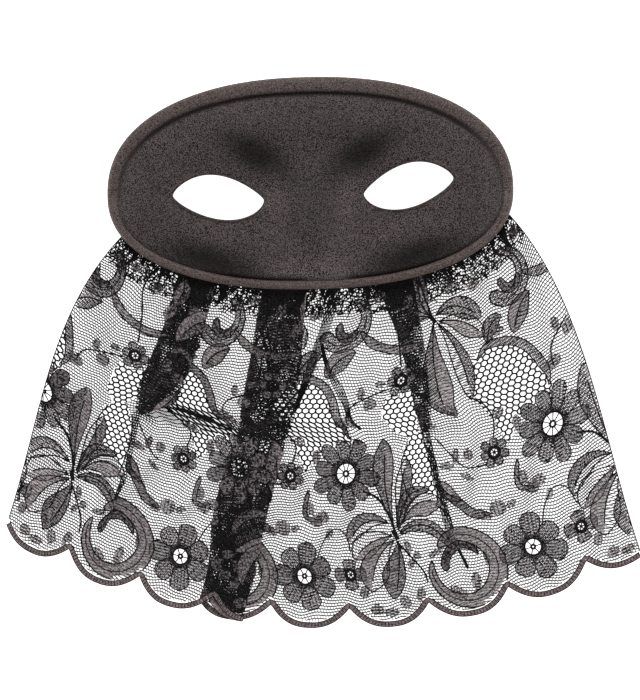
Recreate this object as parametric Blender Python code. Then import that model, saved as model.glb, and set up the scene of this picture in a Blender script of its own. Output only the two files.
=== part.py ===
"""Veiled eye mask: a moulded satin half mask, a padded edge binding and a gathered lace veil.

The mask lies face up on a table. X runs across the face, Y towards the brow, Z up.
Sizes are in millimetres, and MM turns them into Blender's metres. Forms are worked out
about the middle of the mask, and the finished part is moved so that the world origin is
the bottom centre of its box.
"""
import math

import bmesh
import bpy
import numpy as np
from mathutils import Vector
from mathutils.geometry import delaunay_2d_cdt

MM = 0.001

# Mask outline and moulding
MASK_WIDTH = 180.0
MASK_TOP = 50.2
MASK_BOTTOM = 43.4
OUTLINE_POWER = 2.25
SHELL_WALL = 2.0
SHELL_MESH = 6.2
MESH_MARGIN = 0.45
SHARP_DEGREES = 50.0
OUTLINE_STEPS = 2881
ARCH_RISE = 18.0
CROWN_RISE = 5.5
CROWN_POWER = 3.4
NOSE_RISE = 10.0
NOSE_HALF_WIDTH = 15.0
BRIDGE_Y = 19.0
NOSE_FULL_Y = -27.0
HEADING_ROOM = 2.2
HEADING_ROOM_RUN = 8.0

# Edge binding
BINDING_TOP_WIDTH = 7.2
BINDING_LOW_WIDTH = 4.0
BINDING_HEIGHT = 5.0
BINDING_STATIONS = 72
BINDING_SIDES = 8
CLEARANCE = 0.3

# Eye holes, given for the eye at +X from the middle of the pair, which is cut a little
# off the mask's own middle and square
EYE_MIDDLE = (1.4, -0.6)
EYE_TILT_DEGREES = 2.4
EYE_INNER = (22.0, -2.4)
EYE_OUTER = (62.0, 2.4)
LID_RISE = 10.1
LID_DROP = 9.5
UPPER_LID_SKEW = 1.12
LOWER_LID_SKEW = 0.84
LID_ROUNDNESS = 0.66
LID_POINTS = 14

# Lace veil
LACE_WALL = 1.0
LACE_WIDTH = 345.0
SCALLOP_PITCH = 36.0
SCALLOP_DEPTH = 9.0
SCALLOP_POWER = 2.4
SCALLOP_START = -3.0
SCALLOP_POINTS = 7
LACE_LENGTH = 146.0
HEADING_TUCK = 2.2
HEADING_LEFT_Y = -17.8
HEADING_RIGHT_Y = -10.7
HEM_RADIUS = 290.0
HEM_MIDDLE_X = 16.0
HEM_LOW_Y = -185.0
HEM_LEFT_DEGREES = 31.8
HEM_RIGHT_DEGREES = 25.6
FAN_DEGREES = 18.0
FAN_TURN_DEGREES = -1.2
FAN_MIDDLE = 0.53
FAN_SPREAD = 0.17
FLARE_DEGREES = 27.0
CROWDING = 0.06
LANDING = 60.0
GATHER_COUNT = 24
GATHER_SLOPE = 0.6
GATHER_LENGTH = 46.0
LAYER_PITCH = 1.8
PLEAT_APPROACH = 14.0
FOLD_ROOM = 1.15
CALM_END = 28.8

# The veil's mesh: rows of points down the lace, and how many points a fold's turn has
VEIL_ROWS = 64
VEIL_STEPS = 1801
HEADING_STEPS = 1441
GATHERED_ROWS = (0.0, 4.0, 11.0, 20.0, 31.0, 43.0)
FIRST_OPEN_ROW = 55.0
OPEN_ROW_STEP = 11.5
HEM_ROW_ROOM = 4.0
TURN_POINTS = 4
GATHER_POINTS = 4
MARK_SEAT = 0.8
MARK_TURN = 1.6

# Moulded forms of the mask: place and half size in shares of its half width and half
# height, rise in millimetres, and whether the form is repeated on the other side
FORM_COLUMNS = ("name", "x", "y", "half_x", "half_y", "rise", "mirrored")
FORMS = (
    ("brow", 0.40, 0.53, 0.42, 0.24, 2.2, True),
    ("eye_socket", 0.47, -0.02, 0.24, 0.26, -3.0, True),
    ("bridge_dent", 0.17, 0.34, 0.10, 0.22, -3.4, True),
    ("cheek_hollow", 0.52, -0.59, 0.20, 0.16, -2.6, True),
    ("forehead_dip", 0.0, 0.57, 0.12, 0.24, -1.0, False),
)

# Pleats of the veil, from left to right, at six shares of its length: where the left side
# of the fold lies, in shares of the spread veil's width, and the fold's width
PLEAT_ROWS = (0.0, 0.20, 0.42, 0.50, 0.70, 1.0)
PLEAT_COLUMNS = ("name", "left_sides", "widths")
PLEATS = (
    ("left_dart", (0.164, 0.166, 0.146, 0.150, 0.155, 0.140), (22.0, 21.0, 20.0, 4.5, 3.0, 0.0)),
    ("centre_pleat", (0.364, 0.362, 0.346, 0.338, 0.312, 0.316), (23.0, 24.5, 26.0, 27.0, 27.0, 22.5)),
    ("right_dart", (0.625, 0.660, 0.678, 0.687, 0.712, 0.742), (19.0, 12.0, 8.0, 5.0, 2.5, 0.0)),
)

# Net patches: the middle of each along the flat lace and down it, in shares, and how
# many gaps it has across and down
NET_COLUMNS = ("name", "across", "down", "columns", "rows")
NET_PATCHES = (
    ("left_edge_net", 0.085, 0.58, 2, 4),
    ("left_net", 0.325, 0.32, 3, 5),
    ("middle_net", 0.630, 0.38, 3, 5),
    ("right_net", 0.705, 0.60, 2, 4),
    ("far_right_net", 0.895, 0.38, 5, 4),
    ("middle_daisy_heart", 0.630, 0.58, 2, 1),
    ("right_daisy_heart", 0.936, 0.60, 2, 1),
    ("left_hem_flower", 0.252, 0.93, 2, 1),
    ("middle_hem_flower", 0.557, 0.91, 2, 1),
    ("right_hem_flower", 0.879, 0.90, 2, 1),
)
MARK_ROW = 0.3
NET_GAP = 4.2
NET_GAP_ROOM = 0.72
NET_STEP = 6.4
NET_ROW_STEP = 5.76
NET_GAP_SIDES = 5

HALF_WIDTH = MASK_WIDTH / 2
HALF_HEIGHT = (MASK_TOP + MASK_BOTTOM) / 2
TEMPLE_X = HALF_WIDTH - (BINDING_TOP_WIDTH + BINDING_LOW_WIDTH) / 4


def named(columns, row):
    """Return a table row as a dictionary of its named columns."""
    return dict(zip(columns, row))


def smooth_step(value):
    """Return a smooth 0 to 1 ramp of a value that is clipped to 0 and 1."""
    value = np.clip(value, 0.0, 1.0)
    return value * value * (3.0 - 2.0 * value)


def half_height(y):
    """Return the outline's reach above or below its widest line, whichever side y is on."""
    return np.where(y > 0.0, MASK_TOP, MASK_BOTTOM)


def rim_height(x, y):
    """Return the height of the rim plane: the arch over the face and the nose's lift."""
    arch = ARCH_RISE * (1.0 - (x / TEMPLE_X) ** 2)
    bridge = smooth_step((BRIDGE_Y - y) / (BRIDGE_Y - NOSE_FULL_Y))
    nose = NOSE_RISE * np.exp(-(x / NOSE_HALF_WIDTH) ** 2) * bridge
    heading = HEADING_ROOM * smooth_step(-y / HEADING_ROOM_RUN)
    return np.maximum(arch, 0.0) + nose + heading


def moulded_forms(x, y):
    """Return the rise of the brows, sockets, dents and cheeks at a place on the mask."""
    rise = np.zeros_like(x)
    for row in FORMS:
        form = named(FORM_COLUMNS, row)
        for side in (1.0, -1.0)[:2 if form["mirrored"] else 1]:
            across = (x - side * form["x"] * HALF_WIDTH) / (form["half_x"] * HALF_WIDTH)
            along = (y - form["y"] * HALF_HEIGHT) / (form["half_y"] * HALF_HEIGHT)
            rise = rise + form["rise"] * np.exp(-across ** 2 - along ** 2)
    return rise


def mask_height(x, y):
    """Return the height of the middle of the mask's wall over the table."""
    reach = (np.abs(x / HALF_WIDTH) ** OUTLINE_POWER
             + np.abs(y / half_height(y)) ** OUTLINE_POWER) ** (1.0 / OUTLINE_POWER)
    crown = 1.0 - np.clip(reach, 0.0, 1.0) ** CROWN_POWER
    forms = moulded_forms(x, y) * np.clip(crown * 2.0, 0.0, 1.0)
    return rim_height(x, y) + BINDING_HEIGHT / 2 + CROWN_RISE * crown + forms


def outline_points(angles):
    """Return points of the mask's outline and their outward normals, as rows of X and Y."""
    cosine = np.cos(angles)
    sine = np.sin(angles)
    power = 2.0 / OUTLINE_POWER
    x = HALF_WIDTH * np.sign(cosine) * np.abs(cosine) ** power
    y = half_height(sine) * np.sign(sine) * np.abs(sine) ** power
    slope_x = np.sign(x) * np.abs(x / HALF_WIDTH) ** (OUTLINE_POWER - 1.0) / HALF_WIDTH
    reach_y = half_height(y)
    slope_y = np.sign(y) * np.abs(y / reach_y) ** (OUTLINE_POWER - 1.0) / reach_y
    normals = np.stack((slope_x, slope_y), axis=1)
    normals /= np.linalg.norm(normals, axis=1)[:, None]
    return np.stack((x, y), axis=1), normals


def even_outline(count):
    """Return outline points at even distances round the mask, with their normals."""
    fine = np.linspace(0.0, 2.0 * math.pi, OUTLINE_STEPS)
    points = outline_points(fine)[0]
    lengths = np.linalg.norm(np.diff(points, axis=0), axis=1)
    travelled = np.concatenate(([0.0], np.cumsum(lengths)))
    marks = np.linspace(0.0, travelled[-1], count, endpoint=False)
    return outline_points(np.interp(marks, travelled, fine))


def binding_width(y):
    """Return the binding's width: broad along the brow and narrow below."""
    share = smooth_step((y + MASK_BOTTOM) / (MASK_TOP + MASK_BOTTOM))
    return BINDING_LOW_WIDTH + (BINDING_TOP_WIDTH - BINDING_LOW_WIDTH) * share


def eye_outline(side):
    """Return the almond outline of the eye hole on the given side, anticlockwise."""
    inner = np.array(EYE_INNER)
    outer = np.array(EYE_OUTER)
    share = 0.5 - 0.5 * np.cos(np.linspace(0.0, math.pi, LID_POINTS + 1))
    chord = inner + (outer - inner) * share[:, None]
    upper = LID_RISE * np.sin(math.pi * share ** UPPER_LID_SKEW) ** LID_ROUNDNESS
    lower = LID_DROP * np.sin(math.pi * share ** LOWER_LID_SKEW) ** LID_ROUNDNESS
    below = chord - np.stack((np.zeros_like(lower), lower), axis=1)
    above = chord + np.stack((np.zeros_like(upper), upper), axis=1)
    loop = np.concatenate((below[:-1], above[:0:-1]))
    if side < 0:
        loop = loop[::-1] * (-1.0, 1.0)
    tilt = math.radians(EYE_TILT_DEGREES)
    turned = np.array(((math.cos(tilt), math.sin(tilt)), (-math.sin(tilt), math.cos(tilt))))
    return loop @ turned + EYE_MIDDLE


def inside_loop(points, loop):
    """Tell which points lie inside a closed loop, by counting the edges to their right."""
    inside = np.zeros(len(points), dtype=bool)
    for start, end in zip(loop, np.roll(loop, -1, axis=0)):
        crosses = (start[1] > points[:, 1]) != (end[1] > points[:, 1])
        rise = end[1] - start[1]
        run = (points[:, 1] - start[1]) / (rise if rise else 1.0)
        inside ^= crosses & (points[:, 0] < start[0] + run * (end[0] - start[0]))
    return inside


def distance_to_loop(points, loop):
    """Return each point's distance to the nearest edge of a closed loop."""
    nearest = np.full(len(points), np.inf)
    for start, end in zip(loop, np.roll(loop, -1, axis=0)):
        run = end - start
        share = np.clip(((points - start) @ run) / max(run @ run, 1e-12), 0.0, 1.0)
        foot = start + share[:, None] * run
        nearest = np.minimum(nearest, np.linalg.norm(points - foot, axis=1))
    return nearest


def triangulate(outer, holes, inner_points):
    """Return flat points and triangles of an outline with holes and points inside it."""
    loops = [outer] + list(holes)
    points = np.concatenate(loops + [inner_points])
    edges = []
    first = 0
    for loop in loops:
        count = len(loop)
        edges += [(first + i, first + (i + 1) % count) for i in range(count)]
        first += count
    result = delaunay_2d_cdt([Vector(p) for p in points], edges, [], 0, 1e-5)
    flat = np.array([tuple(p) for p in result[0]])
    triangles = np.array([tuple(f) for f in result[2]])
    middles = flat[triangles].mean(axis=1)
    keep = inside_loop(middles, outer)
    for hole in holes:
        keep &= ~inside_loop(middles, hole)
    triangles = triangles[keep]
    a, b, c = (flat[triangles[:, i]] for i in range(3))
    turn = (b[:, 0] - a[:, 0]) * (c[:, 1] - a[:, 1]) - (b[:, 1] - a[:, 1]) * (c[:, 0] - a[:, 0])
    triangles[turn < 0] = triangles[turn < 0][:, ::-1]
    used = np.unique(triangles)
    renumber = np.zeros(len(flat), dtype=int)
    renumber[used] = np.arange(len(used))
    return flat[used], renumber[triangles]


def vertex_normals(points, triangles):
    """Return the area weighted normals of a surface at its points."""
    a, b, c = (points[triangles[:, i]] for i in range(3))
    face_normals = np.cross(b - a, c - a)
    normals = np.zeros_like(points)
    for corner in range(3):
        np.add.at(normals, triangles[:, corner], face_normals)
    return normals / np.linalg.norm(normals, axis=1)[:, None]


def edge_walls(triangles, count):
    """Return the wall faces that close a doubled surface along its open edges."""
    owners = {}
    for a, b, c in triangles.tolist():
        for start, end in ((a, b), (b, c), (c, a)):
            owners[(start, end)] = True
    walls = []
    for start, end in owners:
        if (end, start) not in owners:
            walls.append((end, start, start + count, end + count))
    return walls


def make_object(name, points, faces, material, parent):
    """Make a smooth shaded mesh object from points in millimetres."""
    mesh = bpy.data.meshes.new(name)
    mesh.from_pydata((np.asarray(points) * MM).tolist(), [], faces)
    work = bmesh.new()
    work.from_mesh(mesh)
    bmesh.ops.triangulate(work, faces=work.faces[:])
    work.to_mesh(mesh)
    work.free()
    mesh.shade_smooth()
    mesh.set_sharp_from_angle(angle=math.radians(SHARP_DEGREES))
    mesh.materials.append(material)
    part = bpy.data.objects.new(name, mesh)
    part.parent = parent
    bpy.context.scene.collection.objects.link(part)
    return part


def thick_faces(points, triangles, wall):
    """Return the points and faces of a wall of even thickness about a surface."""
    normals = vertex_normals(points, triangles)
    count = len(points)
    both = np.concatenate((points + normals * wall / 2, points - normals * wall / 2))
    faces = [tuple(t) for t in triangles.tolist()]
    faces += [tuple(c + count for c in reversed(t)) for t in triangles.tolist()]
    return both, faces + edge_walls(triangles, count)


def fabric(name, colour, roughness, sheen):
    """Make a plain fabric material."""
    material = bpy.data.materials.new(name)
    material.use_nodes = True
    shader = material.node_tree.nodes["Principled BSDF"]
    shader.inputs["Base Color"].default_value = (*colour, 1.0)
    shader.inputs["Roughness"].default_value = roughness
    shader.inputs["Sheen Weight"].default_value = sheen
    return material


def make_shell(material, parent):
    """Make the moulded mask shell with its two eye holes."""
    rim, normals = even_outline(BINDING_STATIONS)
    inset = binding_width(rim[:, 1]) + CLEARANCE
    outer = rim - normals * inset[:, None]
    eyes = [eye_outline(side) for side in (1.0, -1.0)]
    across = np.arange(-HALF_WIDTH, HALF_WIDTH, SHELL_MESH)
    along = np.arange(-HALF_HEIGHT, HALF_HEIGHT, SHELL_MESH * math.sqrt(3.0) / 2)
    grid = np.array([(x + SHELL_MESH / 2 * (row % 2), y)
                     for row, y in enumerate(along) for x in across])
    keep = inside_loop(grid, outer)
    for loop in [outer] + eyes:
        keep &= distance_to_loop(grid, loop) > SHELL_MESH * MESH_MARGIN
    for eye in eyes:
        keep &= ~inside_loop(grid, eye)
    flat, triangles = triangulate(outer, eyes, grid[keep])
    height = mask_height(flat[:, 0], flat[:, 1])
    surface = np.column_stack((flat, height))
    points, faces = thick_faces(surface, triangles, SHELL_WALL)
    return make_object("mask_shell", points, faces, material, parent)


def make_binding(material, parent):
    """Make the padded binding, an oval roll round the mask that is flat on the table."""
    rim, normals = even_outline(BINDING_STATIONS)
    width = binding_width(rim[:, 1])
    middle = rim - normals * width[:, None] / 2
    base = rim_height(middle[:, 0], middle[:, 1])
    points = []
    for station in range(BINDING_STATIONS):
        for side in range(BINDING_SIDES):
            turn = 2.0 * math.pi * (side + 0.5) / BINDING_SIDES
            out = math.cos(turn) / math.cos(math.pi / BINDING_SIDES) * width[station] / 2
            rise = math.sin(turn) / math.cos(math.pi / BINDING_SIDES) * BINDING_HEIGHT / 2
            place = middle[station] + normals[station] * out
            points.append((*place, base[station] + BINDING_HEIGHT / 2 + rise))
    faces = []
    for station in range(BINDING_STATIONS):
        after = (station + 1) % BINDING_STATIONS
        for side in range(BINDING_SIDES):
            beside = (side + 1) % BINDING_SIDES
            faces.append((station * BINDING_SIDES + side, after * BINDING_SIDES + side,
                          after * BINDING_SIDES + beside, station * BINDING_SIDES + beside))
    return make_object("edge_binding", points, faces, material, parent)


EVEN_SHARES = np.linspace(0.0, 1.0, 101)


def crowded(share):
    """Return where an even share of the lace lies in the spread veil, closer on the left."""
    return share * (1.0 - CROWDING) + CROWDING * share ** 2


class Veil:
    """The lace veil's form: it maps flat lace to its place under the mask and on the table."""

    turn_length = math.pi * LAYER_PITCH / 2

    def __init__(self):
        self.rows = np.linspace(0.0, 1.0 + 1.2 * SCALLOP_DEPTH / LACE_LENGTH, VEIL_ROWS)
        self.across = np.linspace(0.0, LACE_WIDTH, VEIL_STEPS)
        sections = [self.section(row) for row in self.rows]
        self.shares, self.rises, self.tops = (np.array(t) for t in zip(*sections))
        self.make_heading()

    def pleats_at(self, row):
        """Return each pleat's middle along the flat lace, and its fold and width, at a row."""
        pleats = [named(PLEAT_COLUMNS, values) for values in PLEATS]
        widths = [float(np.interp(row, PLEAT_ROWS, pleat["widths"])) for pleat in pleats]
        folds = [max(width, self.turn_length * FOLD_ROOM) for width in widths]
        spread = LACE_WIDTH - 2.0 * sum(widths)
        hidden = 0.0
        found = []
        for pleat, width, fold in zip(pleats, widths, folds):
            share = float(np.interp(row, PLEAT_ROWS, pleat["left_sides"]))
            even = np.interp(share, crowded(EVEN_SHARES), EVEN_SHARES)
            found.append((even * spread + hidden + 1.5 * width, fold, width))
            hidden += 2.0 * width
        return found

    def section(self, row):
        """Return the veil's section at a row: share of the fan, rise, and stack height."""
        x = self.across
        step = x[1] - x[0]
        angle = np.zeros_like(x)
        calm = np.ones_like(x)
        ramps = []
        for middle, fold, width in self.pleats_at(row):
            depth = math.pi * float(smooth_step(width / self.turn_length))
            down = np.clip((x - middle + fold / 2) / self.turn_length + 0.5, 0.0, 1.0)
            back = np.clip((x - middle - fold / 2) / self.turn_length + 0.5, 0.0, 1.0)
            turn = depth * (back - down)
            angle += turn
            drop = -float(np.sum(np.sin(turn)) * step)
            start = middle - fold * 1.5 - 1.0
            end = middle + fold * 1.5 + 1.0
            ramps.append((drop, start, end))
            near = np.abs(x - middle) - 1.5 * fold
            calm *= smooth_step(near / PLEAT_APPROACH * 2.0)
        fade = float(smooth_step(1.0 - row * LACE_LENGTH / GATHER_LENGTH))
        ends = smooth_step(np.minimum(x, LACE_WIDTH - x) / CALM_END)
        wave = GATHER_SLOPE * fade * calm * ends
        phase = 2.0 * math.pi * GATHER_COUNT * x / LACE_WIDTH
        crest = wave * LACE_WIDTH / GATHER_COUNT / math.pi
        gather = crest * (0.5 - 0.5 * np.cos(phase))
        travelled = np.concatenate(([0.0], np.cumsum(np.cos(angle[1:]) * step)))
        rise = np.concatenate(([0.0], np.cumsum(np.sin(angle[1:]) * step)))
        top = np.zeros_like(x)
        for drop, start, end in ramps:
            climb = smooth_step((x - start) / PLEAT_APPROACH + 1.0)
            rise += drop * climb
            top += drop * climb * (1.0 - smooth_step((x - end) / PLEAT_APPROACH))
        return crowded(travelled / travelled[-1]), rise + gather, top + crest

    def make_heading(self):
        """Work out the heading's run along the lower edge of the mask."""
        angles = np.linspace(-math.pi, 0.0, HEADING_STEPS)
        points, normals = outline_points(angles)
        left = points[:, 0] < 0.0
        keep = np.where(left, points[:, 1] < HEADING_LEFT_Y, points[:, 1] < HEADING_RIGHT_Y)
        points = points[keep]
        normals = normals[keep]
        lengths = np.linalg.norm(np.diff(points, axis=0), axis=1)
        travelled = np.concatenate(([0.0], np.cumsum(lengths)))
        self.heading_shares = travelled / travelled[-1]
        self.heading_points = points - normals * HEADING_TUCK

    def lookup(self, table, x, row):
        """Read a table of rows at flat places, with straight steps between its entries."""
        column = np.clip(x / LACE_WIDTH * (len(self.across) - 1), 0, len(self.across) - 1.001)
        line = np.clip(row / self.rows[-1] * (len(self.rows) - 1), 0, len(self.rows) - 1.001)
        i = column.astype(int)
        j = line.astype(int)
        s = column - i
        t = line - j
        near = table[j, i] * (1.0 - s) + table[j, i + 1] * s
        far = table[j + 1, i] * (1.0 - s) + table[j + 1, i + 1] * s
        return near * (1.0 - t) + far * t

    def plan(self, share, row):
        """Return the place in plan at a share of the fan and a row, on a smooth curve."""
        start = np.stack([np.interp(share, self.heading_shares, self.heading_points[:, i])
                          for i in range(2)], axis=1)
        degrees = HEM_RIGHT_DEGREES + HEM_LEFT_DEGREES
        ray = np.radians(share * degrees - HEM_LEFT_DEGREES)
        end = np.stack((HEM_MIDDLE_X + HEM_RADIUS * np.sin(ray),
                        HEM_LOW_Y + HEM_RADIUS * (1.0 - np.cos(ray))), axis=1)
        fan = np.radians(FAN_DEGREES * np.tanh((share - FAN_MIDDLE) / FAN_SPREAD)
                         + FAN_TURN_DEGREES)
        flare = fan + np.radians(FLARE_DEGREES) * (2.0 * share - 1.0) ** 5
        third = LACE_LENGTH / 3
        leave = start + third * np.stack((np.sin(flare), -np.cos(flare)), axis=1)
        arrive = end - third * np.stack((np.sin(fan), -np.cos(fan)), axis=1)
        t = row[:, None]
        return (start * (1 - t) ** 3 + 3 * leave * t * (1 - t) ** 2
                + 3 * arrive * t ** 2 * (1 - t) + end * t ** 3)

    def place(self, x, down):
        """Return the middle of the lace at flat places, across and down from the heading."""
        row = down / LACE_LENGTH
        share = self.lookup(self.shares, x, row)
        rise = self.lookup(self.rises, x, row)
        top = self.lookup(self.tops, x, row)
        plan = self.plan(share, row)
        edge = self.plan(share, np.zeros_like(row))
        rim = rim_height(edge[:, 0], edge[:, 1])
        hung = rim - CLEARANCE - LACE_WALL * 0.75 - (top - rise)
        laid = LACE_WALL / 2 + rise
        hang = 0.5 + 0.5 * np.cos(math.pi * np.clip(down / LANDING, 0.0, 1.0))
        height = np.where(hang > 0.0, hung * hang + laid * (1.0 - hang), laid)
        return np.column_stack((plan, np.maximum(height, LACE_WALL / 2)))

    def hem(self, x):
        """Return how far down the lace its scalloped hem lies."""
        share = np.mod((x - SCALLOP_START) / SCALLOP_PITCH, 1.0)
        drop = 1.0 - np.abs(2.0 * share - 1.0) ** SCALLOP_POWER
        return LACE_LENGTH + SCALLOP_DEPTH * drop


def pleat_columns(veil, row):
    """Return marks that keep to the folds' turns all the way down, and their flat places."""
    marks = [0.0]
    places = [0.0]
    seats = veil.pleats_at(MARK_ROW)
    for (seat, wide, _), (middle, fold, _) in zip(seats, veil.pleats_at(row)):
        for side in (-1.0, 1.0):
            for edge in (-1.0, 1.0):
                marks.append(seat + side * wide * MARK_SEAT + edge * veil.turn_length * MARK_TURN)
                places.append(middle + side * fold / 2 + edge * veil.turn_length / 2)
    return np.array(marks + [LACE_WIDTH]), np.array(places + [LACE_WIDTH])


def lace_places(veil, flat):
    """Turn mesh marks into flat lace places, row by row."""
    x = np.empty(len(flat))
    for i, (mark, down) in enumerate(flat):
        marks, places = pleat_columns(veil, down / LACE_LENGTH)
        x[i] = np.interp(mark, marks, places)
    return x


def column_marks(veil, spacing):
    """Return marks across the lace: dense in the folds' turns and even between them."""
    knots = pleat_columns(veil, 0.0)[0]
    marks = []
    for i, (start, end) in enumerate(zip(knots[:-1], knots[1:])):
        in_turn = i % 2 == 1
        count = TURN_POINTS if in_turn else max(1, round((end - start) / spacing))
        marks += [start + (end - start) * k / count for k in range(count)]
    return np.array(marks + [LACE_WIDTH])


def net_gaps(veil):
    """Return the outlines of the net's gaps as loops of mesh marks."""
    loops = []
    for values in NET_PATCHES:
        patch = named(NET_COLUMNS, values)
        for row in range(patch["rows"]):
            for column in range(patch["columns"]):
                shift = column - (patch["columns"] - 1) / 2 + 0.5 * (row % 2) - 0.25
                across = patch["across"] * LACE_WIDTH + shift * NET_STEP
                down = (patch["down"] * LACE_LENGTH
                        + (row - (patch["rows"] - 1) / 2) * NET_ROW_STEP)
                marks, places = pleat_columns(veil, down / LACE_LENGTH)
                middle = np.interp(across, places, marks)
                turns = 2.0 * math.pi * (np.arange(NET_GAP_SIDES) + 0.25) / NET_GAP_SIDES
                ring = np.stack((np.cos(turns), np.sin(turns)), axis=1) * NET_GAP / 2
                loops.append(ring + (middle, down))
    return loops


def make_veil(material, parent):
    """Make the gathered, pleated and scalloped lace veil with the gaps of its net."""
    veil = Veil()
    fine = column_marks(veil, LACE_WIDTH / GATHER_COUNT / GATHER_POINTS)
    coarse = column_marks(veil, SCALLOP_PITCH / 3)
    open_rows = np.arange(FIRST_OPEN_ROW, LACE_LENGTH - HEM_ROW_ROOM, OPEN_ROW_STEP)
    scallop_step = SCALLOP_PITCH / SCALLOP_POINTS
    scallop_marks = np.arange(SCALLOP_START + SCALLOP_PITCH, LACE_WIDTH, scallop_step)
    first_marks = np.arange(SCALLOP_START + SCALLOP_PITCH - scallop_step, 0.0, -scallop_step)
    hem_marks = np.unique(np.round(np.concatenate((
        column_marks(veil, SCALLOP_PITCH / 2), scallop_marks, first_marks)), 3))
    hem_row = np.ones_like(hem_marks)
    hem_x = lace_places(veil, np.column_stack((hem_marks, hem_row * LACE_LENGTH)))
    hem = np.column_stack((hem_marks, veil.hem(hem_x)))
    all_rows = np.concatenate((GATHERED_ROWS, open_rows))
    left = np.array([(0.0, row) for row in all_rows[1:][::-1]])
    right = np.array([(LACE_WIDTH, row) for row in all_rows[1:]])
    heading = np.column_stack((fine, np.zeros_like(fine)))
    outer = np.concatenate((heading, right, hem[::-1], left))[::-1]
    gaps = net_gaps(veil)
    inner = np.array([(mark, row) for row in GATHERED_ROWS[1:] for mark in fine[1:-1]]
                     + [(mark, row) for row in open_rows for mark in coarse[1:-1]])
    keep = np.ones(len(inner), dtype=bool)
    for gap in gaps:
        keep &= np.linalg.norm(inner - gap.mean(axis=0), axis=1) > NET_GAP * NET_GAP_ROOM
    flat, triangles = triangulate(outer, gaps, inner[keep])
    x = lace_places(veil, flat)
    surface = veil.place(x, flat[:, 1])
    points, faces = thick_faces(surface, triangles[:, ::-1], LACE_WALL)
    points[:, 2] = np.maximum(points[:, 2], 0.0)
    return make_object("lace_veil", points, faces, material, parent)


def clear_scene():
    """Remove the objects of the open file."""
    for item in list(bpy.data.objects):
        bpy.data.objects.remove(item, do_unlink=True)


def centre_on_origin(root, parts):
    """Move the root so that the parts' box has its bottom centre at the world origin."""
    corners = np.array([v.co for part in parts for v in part.data.vertices])
    low = corners.min(axis=0)
    high = corners.max(axis=0)
    root.location = (-(low[0] + high[0]) / 2, -(low[1] + high[1]) / 2, -low[2])


def main():
    """Build the veiled eye mask."""
    clear_scene()
    root = bpy.data.objects.new("mask_root", None)
    bpy.context.scene.collection.objects.link(root)
    satin = fabric("dark_satin", (0.035, 0.030, 0.029), 0.55, 0.3)
    binding = fabric("binding_satin", (0.042, 0.036, 0.035), 0.5, 0.3)
    lace = fabric("black_lace", (0.020, 0.019, 0.020), 0.8, 0.1)
    parts = [make_shell(satin, root), make_binding(binding, root), make_veil(lace, root)]
    centre_on_origin(root, parts)


main()
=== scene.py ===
"""Looks of the veiled eye mask: satin mask, padded binding and a veil of knitted floral lace.

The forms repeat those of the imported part. Sizes are in millimetres about the middle of the
mask, with X across the face, Y towards the brow and Z up, and MM turns them into metres.
The lace is drawn on the flat cloth, x along it and t down from its heading, as threads,
and each thread is then laid on the gathered and pleated veil.
"""
import math

import bpy
import numpy as np
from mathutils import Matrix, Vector
from mathutils.geometry import delaunay_2d_cdt


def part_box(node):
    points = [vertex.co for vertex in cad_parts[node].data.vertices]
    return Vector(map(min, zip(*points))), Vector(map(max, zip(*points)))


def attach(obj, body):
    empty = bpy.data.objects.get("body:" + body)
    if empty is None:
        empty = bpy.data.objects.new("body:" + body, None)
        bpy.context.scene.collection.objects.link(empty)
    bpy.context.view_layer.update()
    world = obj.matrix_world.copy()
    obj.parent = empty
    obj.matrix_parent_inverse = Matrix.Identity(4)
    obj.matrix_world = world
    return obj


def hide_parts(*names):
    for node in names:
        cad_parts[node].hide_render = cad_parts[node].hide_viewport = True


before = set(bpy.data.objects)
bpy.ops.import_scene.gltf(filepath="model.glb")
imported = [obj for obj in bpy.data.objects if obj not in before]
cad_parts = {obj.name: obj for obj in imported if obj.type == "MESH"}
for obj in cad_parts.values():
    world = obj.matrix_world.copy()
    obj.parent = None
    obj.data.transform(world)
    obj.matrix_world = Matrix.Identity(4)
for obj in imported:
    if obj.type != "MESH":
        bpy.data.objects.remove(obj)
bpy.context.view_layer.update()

MM = 0.001

# Mask outline and moulding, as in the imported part
MASK_WIDTH = 180.0
MASK_TOP = 50.2
MASK_BOTTOM = 43.4
OUTLINE_POWER = 2.25
SHELL_WALL = 2.0
SHELL_MESH = 1.5
SHELL_STATIONS = 840
MESH_MARGIN = 0.45
OUTLINE_STEPS = 2881
ARCH_RISE = 18.0
CROWN_RISE = 5.5
CROWN_POWER = 3.4
NOSE_RISE = 10.0
NOSE_HALF_WIDTH = 15.0
BRIDGE_Y = 19.0
NOSE_FULL_Y = -27.0
HEADING_ROOM = 2.2
HEADING_ROOM_RUN = 8.0

# Edge binding
BINDING_TOP_WIDTH = 7.2
BINDING_LOW_WIDTH = 4.0
BINDING_HEIGHT = 5.0
BINDING_STATIONS = 1120
BINDING_SIDES = 22
CLEARANCE = 0.3
SQUARE_INNER = 0.66
ROUND_INNER = 0.84
ROUND_OUTER = 0.9
SEAM_PUCKERS = 280
PUCKER_DEPTH = 0.32

# Eye holes
EYE_MIDDLE = (1.4, -0.6)
EYE_TILT_DEGREES = 2.4
EYE_INNER = (22.0, -2.4)
EYE_OUTER = (62.0, 2.4)
LID_RISE = 10.1
LID_DROP = 9.5
UPPER_LID_SKEW = 1.12
LOWER_LID_SKEW = 0.84
LID_ROUNDNESS = 0.66
LID_POINTS = 48
LIP_ROUND = 0.8
LIP_STEPS = 8

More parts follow.
